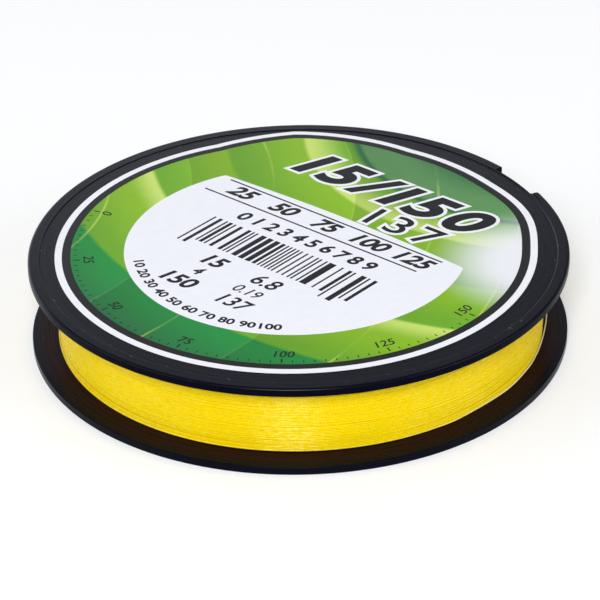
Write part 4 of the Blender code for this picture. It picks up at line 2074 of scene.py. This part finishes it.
    @staticmethod
    def panel_numbers() -> list[Number]:
        """Lay out the plain numbers on the white panel.

        Returns:
            The numbers.
        """
        heading = DigitStyle(3.0, slant=0.28, weight=0.34, stretch=1.15)
        counting = DigitStyle(2.6, slant=0.15, weight=0.24, stretch=1.1)
        rim = DigitStyle(1.6, weight=0.16, stretch=1.2)
        bold = DigitStyle(3.0, slant=0.2, weight=0.30, stretch=1.1)
        plain = DigitStyle(3.0, slant=0.2, weight=0.14)
        small = DigitStyle(2.2, slant=0.2, weight=0.16)
        fine = DigitStyle(2.2, slant=0.2, weight=0.05)
        lengths = [str(25 * (step + 1)) for step in range(5)]
        tens = [str(10 * (step + 1)) for step in range(10)]
        return [
            *digit_row(lengths, heading, 8.4, np.arange(5) * 9.2 - 19.4),
            *digit_row("0123456789", counting, 2.4, np.arange(10) * 3.0 - 13.6),
            *digit_arc(tens, rim, 26.1, -129.0, 7.8),
            Number("15", bold, -7.6, -12.2),
            Number("150", bold, -8.2, -20.2),
            Number("6.8", plain, 3.8, -12.2),
            Number("137", plain, 3.6, -20.2),
            Number("4", small, -7.2, -16.2),
            Number("0.19", fine, 3.4, -16.2),
        ]

    @staticmethod
    def large_numbers() -> list[Number]:
        """Lay out the large plain numbers on the green ground.

        Returns:
            The numbers.
        """
        bold = DigitStyle(7.4, slant=0.3, weight=0.95, stretch=1.22)
        light = DigitStyle(5.6, weight=0.10, stretch=1.25)
        upper = digit_row("15/150", bold, 24.0, (-17.6, -10.9, -4.3, 1.2, 7.9, 15.7))
        return upper + digit_row("137", light, 15.9, (3.4, 8.8, 14.6))

    def scale_numbers(self) -> list[Number]:
        """Lay out the plain numbers of the scale along the label's edge.

        Returns:
            The numbers.
        """
        texts = [str(25 * step) for step in range(self.scale_count)]
        style = DigitStyle(1.7, slant=0.15, weight=0.05)
        start = self.scale_start - self.print_azimuth
        return digit_arc(texts, style, self.scale_digits_r, start, self.scale_step)

    def outlines(self, number: Number) -> list[np.ndarray]:
        """Outlines of a number's digits before its strokes are thickened.

        Args:
            number: The number.

        Returns:
            Closed loops in the label's plane, the outer ones anticlockwise and holes clockwise.
        """
        style = number.style
        curve = bpy.data.curves.new("digits", "FONT")
        curve.body, curve.shear, curve.size = number.text, style.slant, style.height / self.cap_share
        curve.resolution_u, curve.fill_mode = self.curve_steps, "NONE"
        curve.align_x, curve.align_y = "CENTER", "CENTER"
        holder = placed("digits", curve)
        graph = bpy.context.evaluated_depsgraph_get()
        wire = bpy.data.meshes.new_from_object(holder.evaluated_get(graph))
        turn = Matrix.Rotation(math.radians(number.turn), 2)
        spots = [turn @ Vector((vert.co.x * style.stretch, vert.co.y)) for vert in wire.vertices]
        places = np.array([self.on_print(number.along + x, number.up + y) for x, y in spots])
        joined = {tuple(sorted(edge.vertices)) for edge in wire.edges}
        starts = [index for index in range(1, len(places)) if (index - 1, index) not in joined]
        bpy.data.objects.remove(holder, do_unlink=True)
        bpy.data.curves.remove(curve)
        bpy.data.meshes.remove(wire)
        loops = []
        for loop in np.split(places, starts):
            step = np.linalg.norm(loop - np.roll(loop, 1, axis=0), axis=1)
            loops.append(loop[step > self.shortest_step])
        area = sum(float(np.sum(np.cross(loop, np.roll(loop, -1, axis=0)))) for loop in loops)
        return loops if area > 0.0 else [loop[::-1] for loop in loops]

    def strokes(self, number: Number, grow: float = 0.0) -> np.ndarray:
        """Edges, with the ink on their left, of a number's strokes thickened by grow and its weight."""
        return widened(self.outlines(number), (number.style.weight + grow) / 2.0)

    def add_box(self, mesh: Mesh, centre: Point, extent: Point) -> None:
        """Add a rule or bar that is printed on the panel.

        Args:
            mesh: Mesh to add to.
            centre: Its middle (along, up).
            extent: Its size (along, up).
        """
        corners = [
            self.on_print(centre[0] + side * extent[0] / 2.0, centre[1] + top * extent[1] / 2.0)
            for side, top in ((-1, -1), (1, -1), (1, 1), (-1, 1))
        ]
        add_plate(mesh, corners, *self.level(2))

    def add_bars(self, mesh: Mesh) -> None:
        """Add the block of upright bars, in made-up widths that encode nothing.

        Args:
            mesh: Mesh to add to.
        """
        rng = np.random.default_rng(self.seed)
        place = -self.bars_half
        count = 0
        while place < self.bars_half:
            width = self.bar_module * int(rng.choice((1, 1, 2, 2, 3, 4)))
            tall = self.guard_bar_height if count in self.guard_bars else self.bar_height
            centre = (place + width / 2.0, self.bars_top - tall / 2.0)
            self.add_box(mesh, centre, (width * self.bar_ink_share, tall))
            place += width + self.bar_module * int(rng.choice((1, 1, 1, 2, 3)))
            count += 1

    def add_ticks(self, mesh: Mesh) -> None:
        """Add the scale's ticks along the label's edge, the longer ones at its numbers.

        Args:
            mesh: Mesh to add to.
        """
        origin = Vector((self.shift, 0.0))
        for step in range((self.scale_count - 1) * self.scale_parts + 1):
            length, width = self.long_tick if step % self.scale_parts == 0 else self.tick
            angle = math.radians(self.scale_start + self.scale_step / self.scale_parts * step)
            across = Vector((-math.sin(angle), math.cos(angle))) * width / 2.0
            out = Vector((math.cos(angle), math.sin(angle)))
            foot, head = origin + out * (self.tick_r - length), origin + out * self.tick_r
            corners = (foot - across, head - across, head + across, foot + across)
            add_plate(mesh, [tuple(corner) for corner in corners], *self.level(1))

    def black_print(self) -> Piece:
        """Build and dress all that is printed in black inside the ring.

        Returns:
            The piece.
        """
        mesh = bmesh.new()
        on_panel = self.panel_numbers() + self.large_numbers()
        for layer, numbers in ((2, on_panel), (1, self.scale_numbers())):
            for number in numbers:
                add_region(mesh, self.strokes(number), *self.level(layer))
        for place in self.rule_places:
            self.add_box(mesh, place, self.rule)
        self.add_bars(mesh)
        self.add_ticks(mesh)
        piece = new_piece("label_black_print", mesh)
        finish = PlainFilm((0.010, 0.010, 0.012), (0.34, 0.44), uneven=0.15)
        dress(piece, finish.make("black_ink"))
        return piece

    def number_edges(self) -> Piece:
        """Build and dress the white edges behind the large numbers."""
        edges = np.concatenate([self.strokes(number, self.number_edge) for number in self.large_numbers()])
        return self.layer("label_number_edges", edges, self.level(1), PlainFilm(self.white), "edge_ink")

    def build(self) -> list[Piece]:
        """Build and dress the label's layers, from the film up."""
        makers = (self.film, self.ring, self.ground, self.panel, self.number_edges, self.black_print)
        return [make() for make in makers]


@dataclass
class StartTape:
    """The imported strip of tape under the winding, with its finish."""

    finish: PlainFilm = PlainFilm(
        (0.75, 0.72, 0.60), (0.28, 0.42), uneven=0.12, patches=0.4, grain_scale=2.5,
        relief=(0.2, 0.05), ior=1.5,
    )

    def build(self) -> Piece:
        """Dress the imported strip.

        Returns:
            The strip.
        """
        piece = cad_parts["start_tape"]
        piece.data.materials.clear()
        piece.data.materials.append(self.finish.make("pale_tape"))
        return piece


# ---------------- camera, floor and light


@dataclass(frozen=True)
class Softbox:
    """A soft light that faces the spool.

    Attributes:
        name: Name of the light.
        azimuth: Where it stands, in degrees.
        elevation: Its height above the horizon, in degrees.
        distance_m: Its distance.
        size_m: Its width and height.
        share: Brightness of a white sheet that faces it and has no other light, 1 being white.
        colour: Its colour.
    """

    name: str
    azimuth: float
    elevation: float
    distance_m: float
    size_m: Point
    share: float
    colour: Rgb = (1.0, 1.0, 1.0)

    def build(self) -> Piece:
        """Place the light.

        Returns:
            The light.
        """
        data = bpy.data.lights.new(self.name, "AREA")
        data.shape = "RECTANGLE"
        data.size, data.size_y = self.size_m
        data.energy = self.share * (math.pi * self.distance_m) ** 2
        data.color = self.colour
        rise = math.radians(self.elevation)
        spot = polar(math.cos(rise), self.azimuth, math.sin(rise)).normalized() * self.distance_m
        holder = placed(self.name, data)
        holder.location = spot
        holder.rotation_euler = (-spot).to_track_quat("-Z", "Y").to_euler()
        return holder


@dataclass
class Studio:
    """Camera at the photograph's angle, pale floor and soft light.

    Attributes:
        elevation: Camera's height above the horizon, in degrees.
        distance: Camera's distance from the middle of the front face.
        lens: Focal length.
        sensor: Width of the sensor.
        roll: Camera's roll in degrees.
        picture: Width and height of the picture in pixels.
        face_pixel: Where the middle of the front face appears in it.
        clip_m: Nearest and furthest that the camera sees.
        floor_half_m: Half of the floor's width.
        floor_tone: Grey of the floor.
        floor_glow: How much brighter the floor looks to the camera and in reflections.
        world: Brightness of the surroundings.
        world_tone: Colour of the surroundings.
        lights: The soft lights.
    """

    size: SpoolSizes
    elevation: float = 29.173
    distance: float = 490.68
    lens: float = 178.93
    sensor: float = 36.0
    roll: float = 1.0883
    picture: int = 600
    face_pixel: Point = (298.467, 246.496)
    clip_m: Point = (0.01, 20.0)
    floor_half_m: float = 3.0
    floor_tone: Rgb = (0.86, 0.86, 0.86)
    floor_glow: float = 0.19
    world: float = 0.29
    world_tone: Rgb = (0.94, 0.96, 1.0)
    lights: tuple[Softbox, ...] = (
        Softbox("key", -95.0, 36.0, 1.5, (0.45, 0.45), 0.81),
        Softbox("left_fill", -165.0, 18.0, 1.5, (1.3, 1.3), 0.36, (0.94, 0.97, 1.0)),
        Softbox("right_fill", -20.0, 18.0, 1.5, (1.3, 1.3), 0.40, (0.94, 0.97, 1.0)),
        Softbox("rear", 117.0, 12.0, 1.5, (2.1, 0.75), 0.42, (0.88, 0.94, 1.0)),
    )

    def camera(self) -> None:
        """Place the camera and make it the scene's."""
        focal_px = self.lens / self.sensor * self.picture
        middle = self.picture / 2.0
        rise = math.radians(self.elevation)
        pan = math.atan((self.face_pixel[0] - middle) / focal_px)
        tilt = math.atan((middle - self.face_pixel[1]) / focal_px)
        place = Matrix.Rotation(math.pi / 2.0 - rise, 4, "X")
        away = place.col[2].xyz * self.distance
        for angle, axis in ((-math.radians(self.roll), "Z"), (pan, "Y"), (-tilt, "X")):
            place @= Matrix.Rotation(angle, 4, axis)
        place.translation = (Vector((0.0, 0.0, self.size.height)) + away) * MM
        data = bpy.data.cameras.new("camera")
        data.lens = self.lens
        data.sensor_width = self.sensor
        data.clip_start, data.clip_end = self.clip_m
        holder = placed("camera", data)
        holder.matrix_world = place
        bpy.context.scene.camera = holder

    def floor(self) -> None:
        """Build a wide pale floor that keeps the object's shadow."""
        mesh = bmesh.new()
        bmesh.ops.create_grid(mesh, x_segments=8, y_segments=8, size=self.floor_half_m)
        piece = new_piece("floor", mesh)
        made = bpy.data.materials.new("pale_floor")
        made.use_nodes = True
        nodes = made.node_tree.nodes
        nodes.remove(nodes["Principled BSDF"])
        tree = Tree(made.node_tree)
        matt = tree.node("ShaderNodeBsdfDiffuse", {0: rgba(self.floor_tone)})
        glow = tree.node("ShaderNodeEmission", {0: rgba((1.0, 1.0, 1.0)), 1: self.floor_glow})
        seen = tree.add("ShaderNodeLightPath").outputs
        direct = tree.maths("MAXIMUM", seen["Is Camera Ray"], seen["Is Glossy Ray"])
        direct = tree.maths("MAXIMUM", direct, seen["Is Transmission Ray"])
        both = tree.node("ShaderNodeAddShader", {0: matt, 1: glow})
        choice = tree.node("ShaderNodeMixShader", {0: direct, 1: matt, 2: both})
        tree.feed(nodes["Material Output"].inputs[0], choice)
        piece.data.materials.append(made)

    def build(self) -> None:
        """Set up the camera, floor, world and lights."""
        self.camera()
        self.floor()
        world = bpy.data.worlds.new("studio")
        world.use_nodes = True
        backdrop = world.node_tree.nodes["Background"]
        backdrop.inputs[0].default_value = rgba(self.world_tone)
        backdrop.inputs[1].default_value = self.world
        bpy.context.scene.world = world
        for light in self.lights:
            light.build()
        bpy.context.scene.view_settings.view_transform = "Standard"


# ---------------- the whole spool


def report(piece: Piece) -> None:
    """Log what a piece is made of."""
    LOG.info("%s: %d faces", piece.name, len(piece.data.polygons))


def main() -> None:
    """Build the studio and every piece of the spool, in order."""
    logging.basicConfig(level=logging.INFO, format="%(name)s %(message)s")
    size = SpoolSizes.from_frame()
    Studio(size).build()
    for part in (FrontMoulding(size), BackMoulding(size), WoundLine(size), LooseEnd(size), StartTape()):
        report(part.build())
    for piece in Label(size).build():
        report(piece)


if __name__ == "__main__":
    main()
